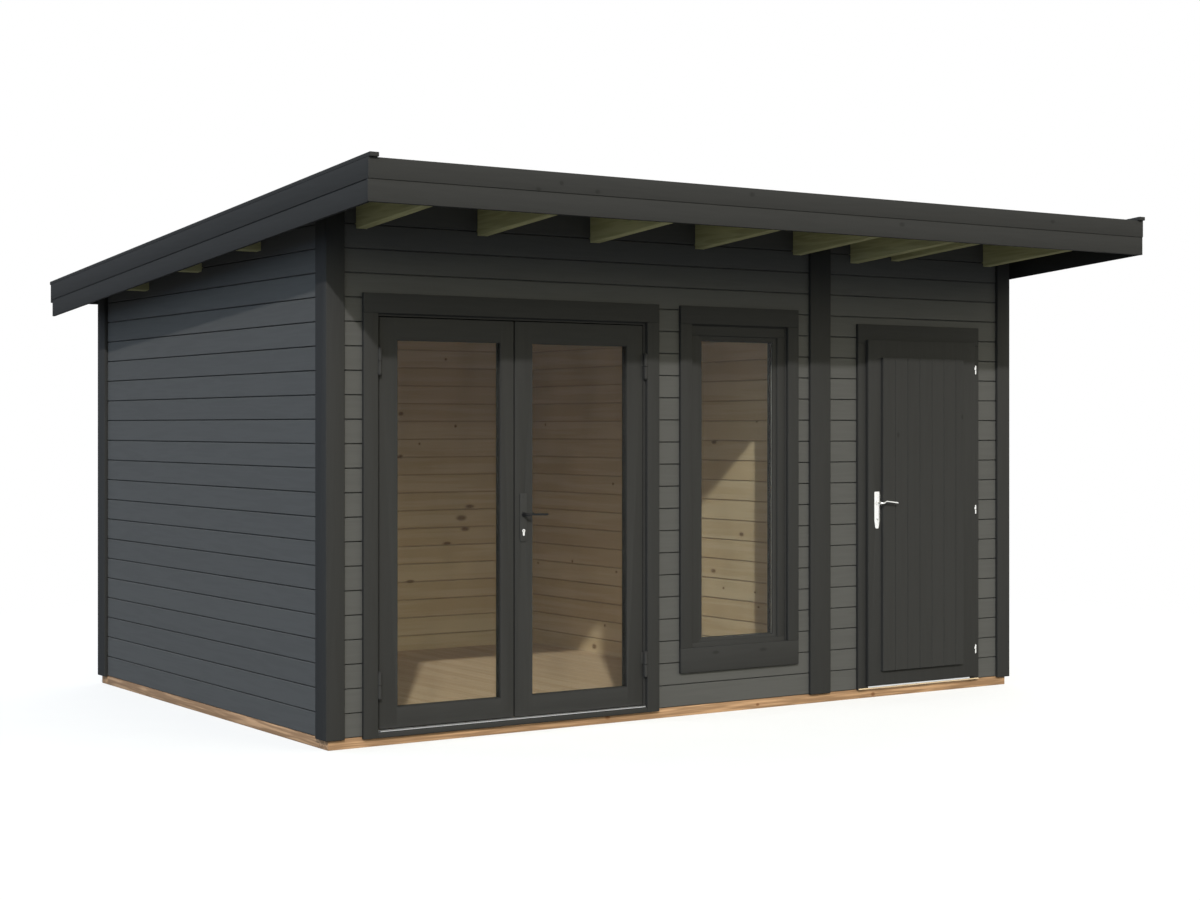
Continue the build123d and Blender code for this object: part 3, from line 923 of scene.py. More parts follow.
class Trees:
    """The geometry node trees, each made once."""

    head_sides = 10
    crown_share = 0.6

    @staticmethod
    def _inputs(tree: bpy.types.NodeTree, sockets: dict[str, str]) -> bpy.types.Node:
        """Names the tree's inputs and its one output.

        Args:
            tree: The tree.
            sockets: The kind of each input, by its name.

        Returns:
            The node that gives the inputs.
        """
        for name, kind in sockets.items():
            tree.interface.new_socket(name, in_out="INPUT", socket_type="NodeSocket" + kind)
        tree.interface.new_socket("Piece", in_out="OUTPUT", socket_type="NodeSocketGeometry")
        return tree.nodes.new("NodeGroupInput")

    @classmethod
    def course_stack(cls) -> bpy.types.NodeTree:
        """Stacks one open course into a wall and paints its two faces.

        Returns:
            The tree.
        """
        known = bpy.data.node_groups.get("course_stack")
        if known is not None:
            return known
        tree = bpy.data.node_groups.new("course_stack", "GeometryNodeTree")
        given = cls._inputs(tree, {
            "Course": "Geometry", "Count": "Int", "Pitch": "Vector", "Outer": "Material", "Inner": "Material",
        })
        add, link = tree.nodes.new, tree.links.new
        line = add("GeometryNodeMeshLine")
        link(given.outputs["Count"], line.inputs["Count"])
        link(given.outputs["Pitch"], line.inputs["Offset"])
        copies = add("GeometryNodeInstanceOnPoints")
        link(line.outputs[0], copies.inputs["Points"])
        link(given.outputs["Course"], copies.inputs["Instance"])
        real = add("GeometryNodeRealizeInstances")
        link(copies.outputs[0], real.inputs[0])
        joined = add("GeometryNodeMergeByDistance")
        joined.inputs["Distance"].default_value = WELD
        link(real.outputs[0], joined.inputs[0])
        outer = add("GeometryNodeSetMaterial")
        link(joined.outputs[0], outer.inputs["Geometry"])
        link(given.outputs["Outer"], outer.inputs["Material"])
        inner_side = add("GeometryNodeInputNamedAttribute")
        inner_side.data_type = "BOOLEAN"
        inner_side.inputs["Name"].default_value = "inner_side"
        inner = add("GeometryNodeSetMaterial")
        link(outer.outputs[0], inner.inputs["Geometry"])
        link(inner_side.outputs[0], inner.inputs["Selection"])
        link(given.outputs["Inner"], inner.inputs["Material"])
        link(inner.outputs[0], add("NodeGroupOutput").inputs[0])
        return tree

    @classmethod
    def studs(cls) -> bpy.types.NodeTree:
        """Sets a domed head on each point of a mesh.

        Returns:
            The tree.
        """
        known = bpy.data.node_groups.get("studs")
        if known is not None:
            return known
        tree = bpy.data.node_groups.new("studs", "GeometryNodeTree")
        given = cls._inputs(tree, {
            "Points": "Geometry", "Radius": "Float", "Height": "Float", "Turn": "Rotation",
            "Finish": "Material",
        })
        add, link = tree.nodes.new, tree.links.new
        head = add("GeometryNodeMeshCone")
        head.inputs["Vertices"].default_value = cls.head_sides
        crown = add("ShaderNodeMath")
        crown.operation = "MULTIPLY"
        crown.inputs[1].default_value = cls.crown_share
        link(given.outputs["Radius"], crown.inputs[0])
        link(crown.outputs[0], head.inputs["Radius Top"])
        link(given.outputs["Radius"], head.inputs["Radius Bottom"])
        link(given.outputs["Height"], head.inputs["Depth"])
        copies = add("GeometryNodeInstanceOnPoints")
        link(given.outputs["Points"], copies.inputs["Points"])
        link(head.outputs[0], copies.inputs["Instance"])
        link(given.outputs["Turn"], copies.inputs["Rotation"])
        real = add("GeometryNodeRealizeInstances")
        link(copies.outputs[0], real.inputs[0])
        finish = add("GeometryNodeSetMaterial")
        link(real.outputs[0], finish.inputs["Geometry"])
        link(given.outputs["Finish"], finish.inputs["Material"])
        link(finish.outputs[0], add("NodeGroupOutput").inputs[0])
        return tree


def studs(name: str, points: list[Vector], facing: Vector, radius: float, height: float,
          material: bpy.types.Material) -> bpy.types.Object:
    """Makes a piece of equal screw or nail heads.

    Args:
        name: The piece's name.
        points: Where each head sits.
        facing: The direction that the heads look.
        radius: The head's radius.
        height: How far it stands out.
        material: Its finish.

    Returns:
        The piece.
    """
    mesh = bpy.data.meshes.new(name)
    mesh.from_pydata(points, [], [])
    turn = facing.to_track_quat("Z", "Y").to_euler()
    inputs = {"Radius": radius, "Height": height, "Turn": turn, "Finish": material}
    return show(name, baked(show(name + "_points", mesh), Trees.studs(), inputs))


@dataclass(frozen=True)
class Groove:
    """The joint between two boards: an eased edge on each, then a slit."""

    chamfer: float
    chamfer_depth: float
    slit: float
    slit_depth: float
    back_slit: float


@dataclass
class Courses:
    """A field of equal boards, grooved where they meet, as one closed skin."""

    pitch: float
    thickness: float
    groove: Groove
    both_faces: bool = False

    def _face(self, slit: float) -> list[tuple[float, float]]:
        """Gives depth and height along one board's grooved face.

        Args:
            slit: Half the width of the slit.

        Returns:
            The points of the face, from the board's foot to its head.
        """
        cut = self.groove
        foot = [(cut.slit_depth, 0.0), (cut.slit_depth, slit), (cut.chamfer_depth, slit), (0.0, cut.chamfer)]
        return foot + [(depth, self.pitch - height) for depth, height in reversed(foot)]

    def mesh(self, run: float, count: int, place: Matrix, outer: bpy.types.Material,
             inner: bpy.types.Material) -> bpy.types.Mesh:
        """Stacks the boards and closes the field's two open ends.

        Args:
            run: The boards' length.
            count: How many boards there are.
            place: Turns run, depth and stack into the part's frame.
            outer: The finish of the face at depth zero.
            inner: The finish of the other face.

        Returns:
            The closed mesh.
        """
        front, behind = self._face(self.groove.slit), self._face(self.groove.back_slit)
        back = [(self.thickness - (depth if self.both_faces else 0.0), height) for depth, height in behind]
        course = bmesh.new()
        inner_side = course.faces.layers.bool.new("inner_side")
        ends = []
        for x in (0.0, run):
            ends.append([[course.verts.new((x, *point)) for point in face] for face in (front, back)])
        for side in (0, 1):
            first, second = ends[0][side], ends[1][side]
            for k in range(len(front) - 1):
                face = course.faces.new([first[k], second[k], second[k + 1], first[k + 1]])
                face[inner_side] = bool(side)
        for end in ends:
            course.faces.new(end[0] + list(reversed(end[1])))
        bmesh.ops.recalc_face_normals(course, faces=course.faces)
        carrier = bpy.data.meshes.new("course")
        course.to_mesh(carrier)
        course.free()
        inputs = {"Count": count, "Pitch": (0.0, 0.0, self.pitch), "Outer": outer, "Inner": inner}
        stack = baked(show("course", carrier), Trees.course_stack(), inputs)
        shape = bmesh.new()
        shape.from_mesh(stack)
        bmesh.ops.holes_fill(shape, edges=[e for e in shape.edges if e.is_boundary], sides=0)
        shape.transform(place)
        bmesh.ops.recalc_face_normals(shape, faces=shape.faces)
        shape.to_mesh(stack)
        shape.free()
        return stack


def laid(origin: Vector, run: Vector, depth: Vector, stack: Vector) -> Matrix:
    """Gives the matrix that lays a field of boards at an origin."""
    turn = Matrix((run, depth, stack)).transposed()
    return Matrix.Translation(origin) @ turn.to_4x4()


def cut_above(mesh: bpy.types.Mesh, point: Vector, normal: Vector) -> None:
    """Takes away what lies beyond a plane and closes the cut.

    Args:
        mesh: The mesh to cut.
        point: A point of the plane.
        normal: The direction in which the mesh is taken away.
    """
    shape = bmesh.new()
    shape.from_mesh(mesh)
    everything = list(shape.verts) + list(shape.edges) + list(shape.faces)
    bmesh.ops.bisect_plane(shape, geom=everything, plane_co=point, plane_no=normal, clear_outer=True)
    bmesh.ops.holes_fill(shape, edges=[e for e in shape.edges if e.is_boundary], sides=0)
    shape.to_mesh(mesh)
    shape.free()


def block_tool(blocks: list[Corners]) -> bpy.types.Mesh:
    """Makes a cutting mesh of plain blocks.

    Args:
        blocks: The low and high corner of each block.

    Returns:
        The mesh.
    """
    shape = bmesh.new()
    for low, high in blocks:
        made = bmesh.ops.create_cube(shape, size=1.0)["verts"]
        for vert in made:
            vert.co = (low + high) / 2 + Vector([a * b for a, b in zip(vert.co, high - low)])
    return plain_mesh(shape)


# Sub-assemblies


@dataclass
class RoofPlane:
    """The sloping plane of the roof boards' lower face."""

    deck_thickness: float = 0.018
    corners: Corners = field(default_factory=lambda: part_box("roof_deck"))

    @property
    def fall(self) -> float:
        """Gives the drop for each metre towards the back."""
        low, high = self.corners
        return (high.z - self.deck_thickness - low.z) / (high.y - low.y)

    def point(self, y: float, lift: float = 0.0) -> Vector:
        """Gives the plane's point above X zero at a depth, raised by lift."""
        low, high = self.corners
        return Vector((0.0, y, high.z - self.deck_thickness - self.fall * (y - low.y) + lift))

    @property
    def normal(self) -> Vector:
        """Gives the plane's upward normal."""
        return Vector((0.0, self.fall, 1.0)).normalized()

    @property
    def down(self) -> Vector:
        """Gives the direction of the fall."""
        return Vector((0.0, 1.0, -self.fall)).normalized()


@dataclass
class LogWalls:
    """The log walls, painted outside and bare inside."""

    plane: RoofPlane
    course: float = 0.115
    thickness: float = 0.044
    course_count: int = 23
    top_gap: float = 0.0005
    overrun: float = 0.2
    groove: Groove = Groove(
        chamfer=0.0046, chamfer_depth=0.004, slit=0.0016, slit_depth=0.014, back_slit=0.0026,
    )
    back_knots: tuple[Knot, ...] = (
        Knot(-0.225, 1.756, 1.594, 0.018), Knot(-0.229, 1.756, 1.319, 0.018),
        Knot(0.285, 1.756, 0.987, 0.019, 2.4), Knot(0.222, 1.756, 0.913, 0.027, 2.0),
        Knot(0.25, 1.756, 0.84, 0.020, 2.2), Knot(0.115, 1.756, 0.75, 0.016, 2.6),
        Knot(-0.155, 1.756, 0.513, 0.016, 2.6),
    )
    partition_knots: tuple[Knot, ...] = (
        Knot(0.751, -0.285, 1.421, 0.017, 2.0), Knot(0.751, -0.547, 0.893, 0.017, 1.8),
        Knot(0.751, -0.279, 0.667, 0.017, 2.0), Knot(0.751, -0.377, 0.573, 0.010),
        Knot(0.751, -0.672, 0.568, 0.009), Knot(0.751, -0.704, 0.486, 0.009),
        Knot(0.751, -0.688, 1.54, 0.009), Knot(0.751, 0.767, 1.151, 0.012),
        Knot(0.751, 0.98, 0.11, 0.024), Knot(0.751, 0.73, 0.60, 0.011), Knot(0.751, 1.655, 0.605, 0.010),
    )

    def build(self) -> None:
        """Builds every wall."""
        openings = []
        for node in ("glazed_door_frame", "window_frame", "store_door_frame"):
            low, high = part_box(node)
            drop = self.overrun if node != "window_frame" else 0.0
            openings.append((low - Vector((0, self.overrun, drop)), high + Vector((0, self.overrun, 0))))
        front = ("front_wall_top", "front_wall_piers", "front_wall_window_apron", "front_wall_heads")
        self._wall("front_logs", front, Axis.X, -1, "rafters", openings)
        self._wall("back_logs", ("back_wall",), Axis.X, 1, "rafters", [], self.back_knots)
        self._wall("left_logs", ("left_wall",), Axis.Y, -1, "roof_lookouts", [])
        self._wall("right_logs", ("right_wall",), Axis.Y, 1, "roof_lookouts", [])
        self._wall("partition_logs", ("partition_wall",), Axis.Y, -1, None, [], self.partition_knots)

    def _wall(self, name: str, nodes: tuple[str, ...], run: Axis, facing: int, timbers: str | None,
              openings: list[Corners], knots: tuple[Knot, ...] = ()) -> None:
        """Builds one wall.

        Args:
            name: The piece's name.
            nodes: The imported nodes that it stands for.
            run: The axis along which it runs.
            facing: The sign of the direction that its outer face looks.
            timbers: The node whose timbers pass through it, or none for a wall that is bare on both faces.
            openings: Blocks to cut out of it.
            knots: Knots at chosen places on its inner face.
        """
        corners = [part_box(node) for node in nodes]
        low = Vector([min(c[0][i] for c in corners) for i in range(3)])
        high = Vector([max(c[1][i] for c in corners) for i in range(3)])
        through = Axis.Y if run is Axis.X else Axis.X
        origin = low.copy()
        if facing > 0:
            origin[through.value] = high[through.value]
        place = laid(origin, run.unit(), through.unit() * -facing, Axis.Z.unit())
        lay = Lay(run, Axis.Z, self.course, low.z)
        inner = PAINTS.pine.material(lay, knots)
        outer = inner if timbers is None else PAINTS.wall_paint.material(lay)
        length = (high - low)[run.value]
        logs = Courses(self.course, self.thickness, self.groove, both_faces=True)
        mesh = logs.mesh(length, self.course_count, place, outer, inner)
        if openings:
            mesh = carved(mesh, block_tool(openings), "DIFFERENCE")
        if timbers:
            mesh = carved(mesh, plain_mesh(merged_copy(timbers)), "DIFFERENCE")
        cut_above(mesh, self.plane.point(0.0, -self.top_gap), self.plane.normal)
        slot = "bare_pine" if timbers is None else "wall_paint"
        seat(show(name, mesh), "building", slot, *nodes)


@dataclass
class GroundWork:
    """The foundation bearers and the floor."""

    board_width: float = 0.095
    groove: Groove = Groove(
        chamfer=0.0022, chamfer_depth=0.002, slit=0.0012, slit_depth=0.008, back_slit=0.0012,
    )
    outline_stretch: float = 3.0
    bearer_edge: float = 0.003
    bearer_pitch: float = 0.3
    bearer_start: float = -0.1
    bearer_knots: tuple[Knot, ...] = (
        Knot(1.168, -1.205, 0.017, 0.015, 1.4), Knot(-0.62, -1.205, 0.03, 0.014, 1.6),
        Knot(0.35, -1.205, 0.022, 0.011, 1.5),
    )

    def build(self) -> None:
        """Builds the bearers and lays the floor."""
        self._bearers("long_bearers", "foundation_long_bearers", Axis.X, self.bearer_knots)
        self._bearers("cross_bearers", "foundation_cross_bearers", Axis.Y)
        self._floor()

    def _bearers(self, name: str, node: str, grain: Axis, knots: tuple[Knot, ...] = ()) -> None:
        """Builds one set of bearers as planed timbers.

        Args:
            name: The piece's name.
            node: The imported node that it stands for.
            grain: The axis along which they run.
            knots: Knots at chosen places.
        """
        shell = Shell()
        for low, high in solid_corners(node):
            shell.board(low, high, self.bearer_edge)
        lay = Lay(grain, Axis.Z, self.bearer_pitch, self.bearer_start)
        seat(shell.piece(name, [PAINTS.brown.material(lay, knots)]), "building", "brown_timber", node)

    def _floor(self) -> None:
        """Lays grooved boards and keeps them inside the floor's outline."""
        low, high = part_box("floor_boards")
        margin = Vector((self.board_width / 2, self.board_width, 0.0))
        start = low - margin
        count = math.ceil((high.x - start.x) / self.board_width) + 1
        place = laid(Vector((start.x, start.y, high.z)), Axis.Y.unit(), -Axis.Z.unit(), Axis.X.unit())
        pine = PAINTS.floor_pine.material(Lay(Axis.Y, Axis.X, self.board_width, start.x))
        boards = Courses(self.board_width, high.z - low.z, self.groove)
        mesh = boards.mesh(high.y - low.y + 2 * margin.y, count, place, pine, pine)
        outline = merged_copy("floor_boards")
        middle = (low.z + high.z) / 2
        for vert in outline.verts:
            vert.co.z = middle + (vert.co.z - middle) * self.outline_stretch
        mesh = carved(mesh, plain_mesh(outline), "INTERSECT")
        seat(show("floor_planks", mesh), "building", "bare_pine", "floor_boards")


@dataclass
class Roof:
    """Rafters, roof boards, felt, fascia boards and edge caps."""

    plane: RoofPlane
    deck_board_count: int = 42
    deck_groove: Groove = Groove(
        chamfer=0.005, chamfer_depth=0.004, slit=0.0006, slit_depth=0.007, back_slit=0.0006,
    )
    felt_strip_count: int = 4
    felt_lap: float = 0.09
    felt_sheet: float = 0.0024
    nail_spacing: float = 0.12
    nail_lap_share: float = 1 / 3
    nail_radius: float = 0.005
    nail_height: float = 0.0012
    edge: float = 0.0015
    sawn_edge: float = 0.004
    rafter_lay: Lay = Lay(Axis.Y, Axis.X, pitch=0.33, start=-2.2)
    outrigger_lay: Lay = Lay(Axis.X, Axis.Y, pitch=0.37, start=-1.4)
    fascia_knots: tuple[Knot, ...] = (
        Knot(-1.44, -2.05, 2.611, 0.016, 1.0), Knot(-1.245, -2.05, 2.585, 0.014),
        Knot(-1.563, -2.05, 2.576, 0.013), Knot(-0.35, -2.05, 2.63, 0.015),
        Knot(0.62, -2.05, 2.54, 0.016), Knot(1.7, -2.05, 2.615, 0.015),
    )

    def build(self) -> None:
        """Builds the roof from the timbers up."""
        for name, node, lay in (
            ("roof_rafters", "rafters", self.rafter_lay),
            ("roof_outriggers", "roof_lookouts", self.outrigger_lay),
        ):
            eased(name, node, "building", "treated_timber", self.sawn_edge, PAINTS.treated.material(lay))
        self._deck()
        self._felt()
        self._edge_boards()

    def _deck(self) -> None:
        """Lays grooved boards across the rafters."""
        low, high = self.plane.corners
        slope_length = (high.y - low.y) / self.plane.down.y
        pitch = slope_length / self.deck_board_count
        origin = self.plane.point(low.y) + Vector((low.x, 0.0, 0.0))
        place = laid(origin, Axis.X.unit(), self.plane.normal, self.plane.down)
        timber = PAINTS.treated.material(Lay(Axis.X, Axis.Y, pitch * self.plane.down.y, low.y))
        boards = Courses(pitch, self.plane.deck_thickness * self.plane.normal.z, self.deck_groove)
        mesh = boards.mesh(high.x - low.x, self.deck_board_count, place, timber, timber)
        seat(show("roof_boards", mesh), "building", "treated_timber", "roof_deck")

    def _felt(self) -> None:
        """Lays felt in strips, each lapped over the next one down, and nails the laps."""
        low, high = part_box("roof_felt")
        deck, sheet = self.plane.deck_thickness, self.felt_sheet
        pitch = (high.y - low.y) / self.felt_strip_count
        run = high.x - low.x
        shell, nails = Shell(), []
        for i in range(self.felt_strip_count):
            y0 = low.y + i * pitch
            last = i == self.felt_strip_count - 1
            y1 = high.y if last else y0 + pitch + self.felt_lap
            raised = 0.0 if last else sheet
            section = ((y0, deck), (y1, deck + raised), (y1, deck + raised + sheet), (y0, deck + sheet))
            corners = [self.plane.point(y, lift) + Vector((low.x, 0, 0)) for y, lift in section]
            shell.prism(corners, Vector((run, 0, 0)))
            if not last:
                top = self.plane.point(y1 - self.felt_lap * self.nail_lap_share, deck + 2 * sheet)
                places = [low.x + (k + 0.5) * self.nail_spacing for k in range(int(run / self.nail_spacing))]
                nails += [top + Vector((x, 0, 0)) for x in places]
        seat(shell.piece("felt_strips", [PAINTS.felt.material()]), "building", "roof_felt", "roof_felt")
        metal = PAINTS.aluminium.material()
        heads = studs("felt_nails", nails, self.plane.normal, self.nail_radius, self.nail_height, metal)
        seat(heads, "building", "aluminium")

    def _edge_boards(self) -> None:
        """Builds the fascia boards and the flat caps on the side edges."""
        along = PAINTS.trim_paint.material(DEEP)
        level = PAINTS.trim_paint.material(LEVEL, self.fascia_knots)
        finishes = {
            "front_fascia_upper": level, "front_fascia_lower": level, "rear_fascia": level,
            "side_fascia_upper": along, "side_fascia_lower": along, "roof_edge_caps": along,
        }
        for node, paint in finishes.items():
            eased(node + "_boards", node, "building", "trim_paint", self.edge, paint)


@dataclass
class CoverBoards:
    """The boards that cover the wall corners and the partition's end."""

    edge: float = 0.003

    def build(self) -> None:
        """Builds the covers."""
        for node in ("corner_covers", "partition_cover"):
            paint = PAINTS.trim_paint.material(UPRIGHT)
            eased(node + "_boards", node, "building", "trim_paint", self.edge, paint)


@dataclass
class BoardFrame:
    """A frame of boards: two uprights, a head and, where it has one, a foot."""

    node: str
    body: str
    side: float
    head: float
    foot: float = 0.0
    edge: float = 0.0025
    knots: tuple[Knot, ...] = ()

    def build(self) -> None:
        """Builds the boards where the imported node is."""
        low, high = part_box(self.node)
        shell = Shell()
        top, bottom = high.z - self.head, low.z
        shell.board(Vector((low.x, low.y, top)), high, self.edge, 1)
        if self.foot:
            bottom = low.z + self.foot
            shell.board(low, Vector((high.x, high.y, bottom)), self.edge, 1)
        shell.board(Vector((low.x, low.y, bottom)), Vector((low.x + self.side, high.y, top)), self.edge)
        shell.board(Vector((high.x - self.side, low.y, bottom)), Vector((high.x, high.y, top)), self.edge)
        paints = [PAINTS.trim_paint.material(UPRIGHT), PAINTS.trim_paint.material(LEVEL, self.knots)]
        seat(shell.piece(self.node + "_boards", paints), self.body, "trim_paint", self.node)


@dataclass
class GlassUnit:
    """A double glazed unit: its panes, the spacer bar between them and the seals around them, the inner one
    deep enough to be painted shade on the inner reveal.
    """

    node: str
    body: str
    spacer: Metal | Rubber
    outer_seal: float
    inner_seal_shade: float
    seal_width: float = 0.003
    spacer_depth: float = 0.008
    spacer_margin: float = 0.002
    spacer_reach: float = 0.0135
    bite: float = 0.012
    pane: float = 0.004
    bar_edge: float = 0.0006

    def build(self) -> None:
        """Builds the bar and the seals and gives the panes their glass."""
        low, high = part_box(self.node)
        dress(self.node, PAINTS.glass.material())
        slot = "aluminium" if isinstance(self.spacer, Metal) else "dark_metal"
        margin = Vector((self.spacer_margin, 0.0, self.spacer_margin))
        depths = (low.y + self.pane, low.y + self.pane + self.spacer_depth)
        bar = self.spacer.material()
        self._ring("spacer", (low + margin, high - margin), self.spacer_reach, depths, bar, slot)
        inset = Vector((self.bite, 0.0, self.bite))
        corners = (low + inset, high - inset)
        rubber = PAINTS.seal.material()
        # The inner ring is partly a seal and partly painted shade: black rubber laid over the inner reveal
        # where it lies in shade.
        outer, inner = (low.y - self.outer_seal, low.y), (high.y, high.y + self.inner_seal_shade)
        for label, depths in (("seal_outer", outer), ("seal_inner", inner)):
            self._ring(label, corners, self.seal_width, depths, rubber, "dark_metal")

    def _ring(self, label: str, corners: Corners, width: float, depths: tuple[float, float],
              material: bpy.types.Material, slot: str) -> None:
        """Builds a thin bar around the panes.

        Args:
            label: The end of the piece's name.
            corners: The bar's outer corners.
            width: Its width towards the middle.
            depths: The Y of its two faces.
            material: Its finish.
            slot: The record's material slot.
        """
        (low, high), (y0, y1) = corners, depths
        bars = (
            (low.x, high.x, low.z, low.z + width),
            (low.x, high.x, high.z - width, high.z),
            (low.x, low.x + width, low.z + width, high.z - width),
            (high.x - width, high.x, low.z + width, high.z - width),
        )
        shell = Shell()
        for x0, x1, z0, z1 in bars:
            shell.board(Vector((x0, y0, z0)), Vector((x1, y1, z1)), self.bar_edge)
        seat(shell.piece(f"{self.node}_{label}", [material]), self.body, slot)


@dataclass
class Threshold:
    """A ribbed metal strip in a doorway."""

    node: str
    plate: float
    lip: float = 0.0
    nose: float = 0.003
    rib_count: int = 4
    rib_height: float = 0.0025
    rib_start_share: float = 0.3
    rib_field_share: float = 0.6

    def build(self) -> None:
        """Draws the ribbed section along the doorway. Each rib and its groove take four equal steps."""
        low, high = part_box(self.node)
        depth = high.y - low.y
        under = high.z - self.plate
        groove = high.z - self.rib_height
        step = depth * self.rib_field_share / self.rib_count / 4
        section = [(low.y, under), (low.y, high.z - self.nose), (low.y + self.nose, high.z)]
        for i in range(self.rib_count):
            y = low.y + depth * (self.rib_start_share + self.rib_field_share * i / self.rib_count)
            section += [(y, high.z), (y + step, groove), (y + 2 * step, groove), (y + 3 * step, high.z)]
        section += [(high.y, high.z), (high.y, low.z)]
        if self.lip:
            section += [(low.y + self.lip, low.z), (low.y + self.lip, under)]
        shell = Shell()
        shell.prism([Vector((low.x, y, z)) for y, z in section], Vector((high.x - low.x, 0, 0)))
        strip = shell.piece(self.node + "_strip", [PAINTS.aluminium.material()])
        seat(strip, "building", "aluminium", self.node)


@dataclass
class BarrelHinges:
    """A row of barrel hinges: an upper half on the leaf and a lower half on the frame."""

    leaf_node: str
    body: str
    joint: str
    metal: Metal
    cap: Metal | Rubber
    slot: str
    radius: float
    short: float
    cap_height: float = 0.006
    tab_size: tuple[float, float, float] = (0.0, 0.0, 0.0)
    fixed_nodes: tuple[str, ...] = ()
    gap: float = 0.0013
    arm: float = 0.0025
    arm_reach: float = 0.016
    edge: float = 0.0006
    tab_edge: float = 0.0008
    sleeve_ease: float = 0.0008
    collar_rises: tuple[float, float, float] = (0.0006, 0.0018, 0.0024)
    collar_foot_share: float = 0.96
    collar_share: float = 1.06
    dome_share: float = 0.9
    dome_turns: tuple[float, ...] = (0.4, 0.8, 1.2, 1.5)

    def build(self) -> None:
        """Builds both halves of each hinge, with an arm behind each sleeve."""
        x, y, _ = joint_place(self.joint)
        uppers, lowers = Shell(), Shell()
        for low, high in solid_corners(self.leaf_node):
            split, top = low.z, high.z - self.short
            bottom = 2 * split - top
            above, below = split + self.gap, split - self.gap
            self._sleeve(uppers, Vector((x, y, above)), top)
            self._sleeve(lowers, Vector((x, y, bottom)), below)
            self._cap(uppers, Vector((x, y, top)), 1)
            self._cap(lowers, Vector((x, y, bottom)), -1)
            far = max(low.x, high.x, key=lambda edge: abs(edge - x))
            plate = Vector((min(far, x), high.y - self.arm, above))
            uppers.board(plate, Vector((max(far, x), high.y, top)), self.edge)
            uppers.board(Vector((x - self.arm, y, above)), Vector((x + self.arm, high.y, top)), self.edge)
            arm_tip = Vector((x + self.arm, y + self.arm_reach, below))
            lowers.board(Vector((x - self.arm, y, bottom)), arm_tip, self.edge)
            if any(self.tab_size):
                wide, deep, _ = self.tab_size
                corner = Vector((x - self.radius - wide, y - self.radius - deep / 2, split))
                overlap = Vector((self.radius / 2, 0.0, 0.0))
                uppers.board(corner, corner + Vector(self.tab_size) + overlap, self.tab_edge)
        finishes = [self.metal.material(), self.cap.material()]
        seat(uppers.piece(self.leaf_node + "_upper", finishes), self.body, self.slot, self.leaf_node)
        seat(lowers.piece(self.leaf_node + "_lower", finishes), "building", self.slot, *self.fixed_nodes)

    def _sleeve(self, shell: Shell, foot: Vector, top: float) -> None:
        """Adds a round sleeve with eased ends.

        Args:
            shell: The half of the hinges that it belongs to.
            foot: The centre of its lower end.
            top: The height of its upper end.
        """
        r, height, ease = self.radius, top - foot.z, self.sleeve_ease
        profile = [(r - ease, 0.0), (r, ease), (r, height - ease), (r - ease, height)]
        shell.turned(foot, Axis.Z.unit(), profile)

    def _cap(self, shell: Shell, centre: Vector, way: int) -> None:
        """Adds one rounded cap with a collar under it.

        Args:
            shell: The half of the hinges that it belongs to.
            centre: The centre of the sleeve's end.
            way: 1 for a cap that looks up, and -1 for one that looks down.
        """
        shares = (self.collar_foot_share, self.collar_share, self.dome_share)
        foot, collar, dome = [self.radius * share for share in shares]
        first, second, third = self.collar_rises
        profile = [(foot, 0.0), (collar, first), (collar, second), (dome, third)]
        profile += [(dome * math.cos(a), third + self.cap_height * math.sin(a)) for a in self.dome_turns]
        shell.turned(centre, Axis.Z.unit() * way, profile, 1)


@dataclass(frozen=True)
class KeyCylinder:
    """A key cylinder: a round plug over a narrow tail, with a key slot."""

    radius: float = 0.0085
    arc_steps: int = 16
    tail_half: float = 0.005
    tail_length: float = 0.0245
    tail_corner: float = 0.003
    tail_foot_share: float = 0.6
    edge: float = 0.0006
    slot_size: tuple[float, float, float] = (0.0024, 0.0008, 0.0085)
    slot_drop: float = 0.0065
    slot_edge: float = 0.0002
    eye_radius: float = 0.0028
    eye_rise: float = 0.002

    def add(self, shell: Shell, centre: Vector, reach: float) -> None:
        """Adds the cylinder to a shell whose second finish is the key slot's.

        Args:
            shell: The shell.
            centre: The plug's centre on the face of the leaf.
            reach: How far it stands out along Y, with its sign.
        """
        start = math.asin(self.tail_half / self.radius) - math.pi / 2
        turn = 2 * math.pi - 2 * (start + math.pi / 2)
        outline = []
        for k in range(self.arc_steps + 1):
            angle = start + turn * k / self.arc_steps
            outline.append((self.radius * math.cos(angle), self.radius * math.sin(angle)))
        half, heel, tail = self.tail_half, self.tail_corner - self.tail_length, -self.tail_length
        toe = half * self.tail_foot_share
        outline += [(-half, heel), (-toe, tail), (toe, tail), (half, heel)]
        shell.prism([centre + Vector((x, 0, z)) for x, z in outline], Vector((0, reach, 0)), self.edge)
        wide, deep, _ = self.slot_size
        front = centre + Vector((0, reach - deep / 2, 0))
        corner = front - Vector((wide / 2, 0, self.slot_drop))
        shell.board(corner, corner + Vector(self.slot_size), self.slot_edge, 1)
        eye = front + Vector((0, 0, self.eye_rise))
        shell.turned(eye, Axis.Y.unit(), [(self.eye_radius, 0.0), (self.eye_radius, deep)], 1)


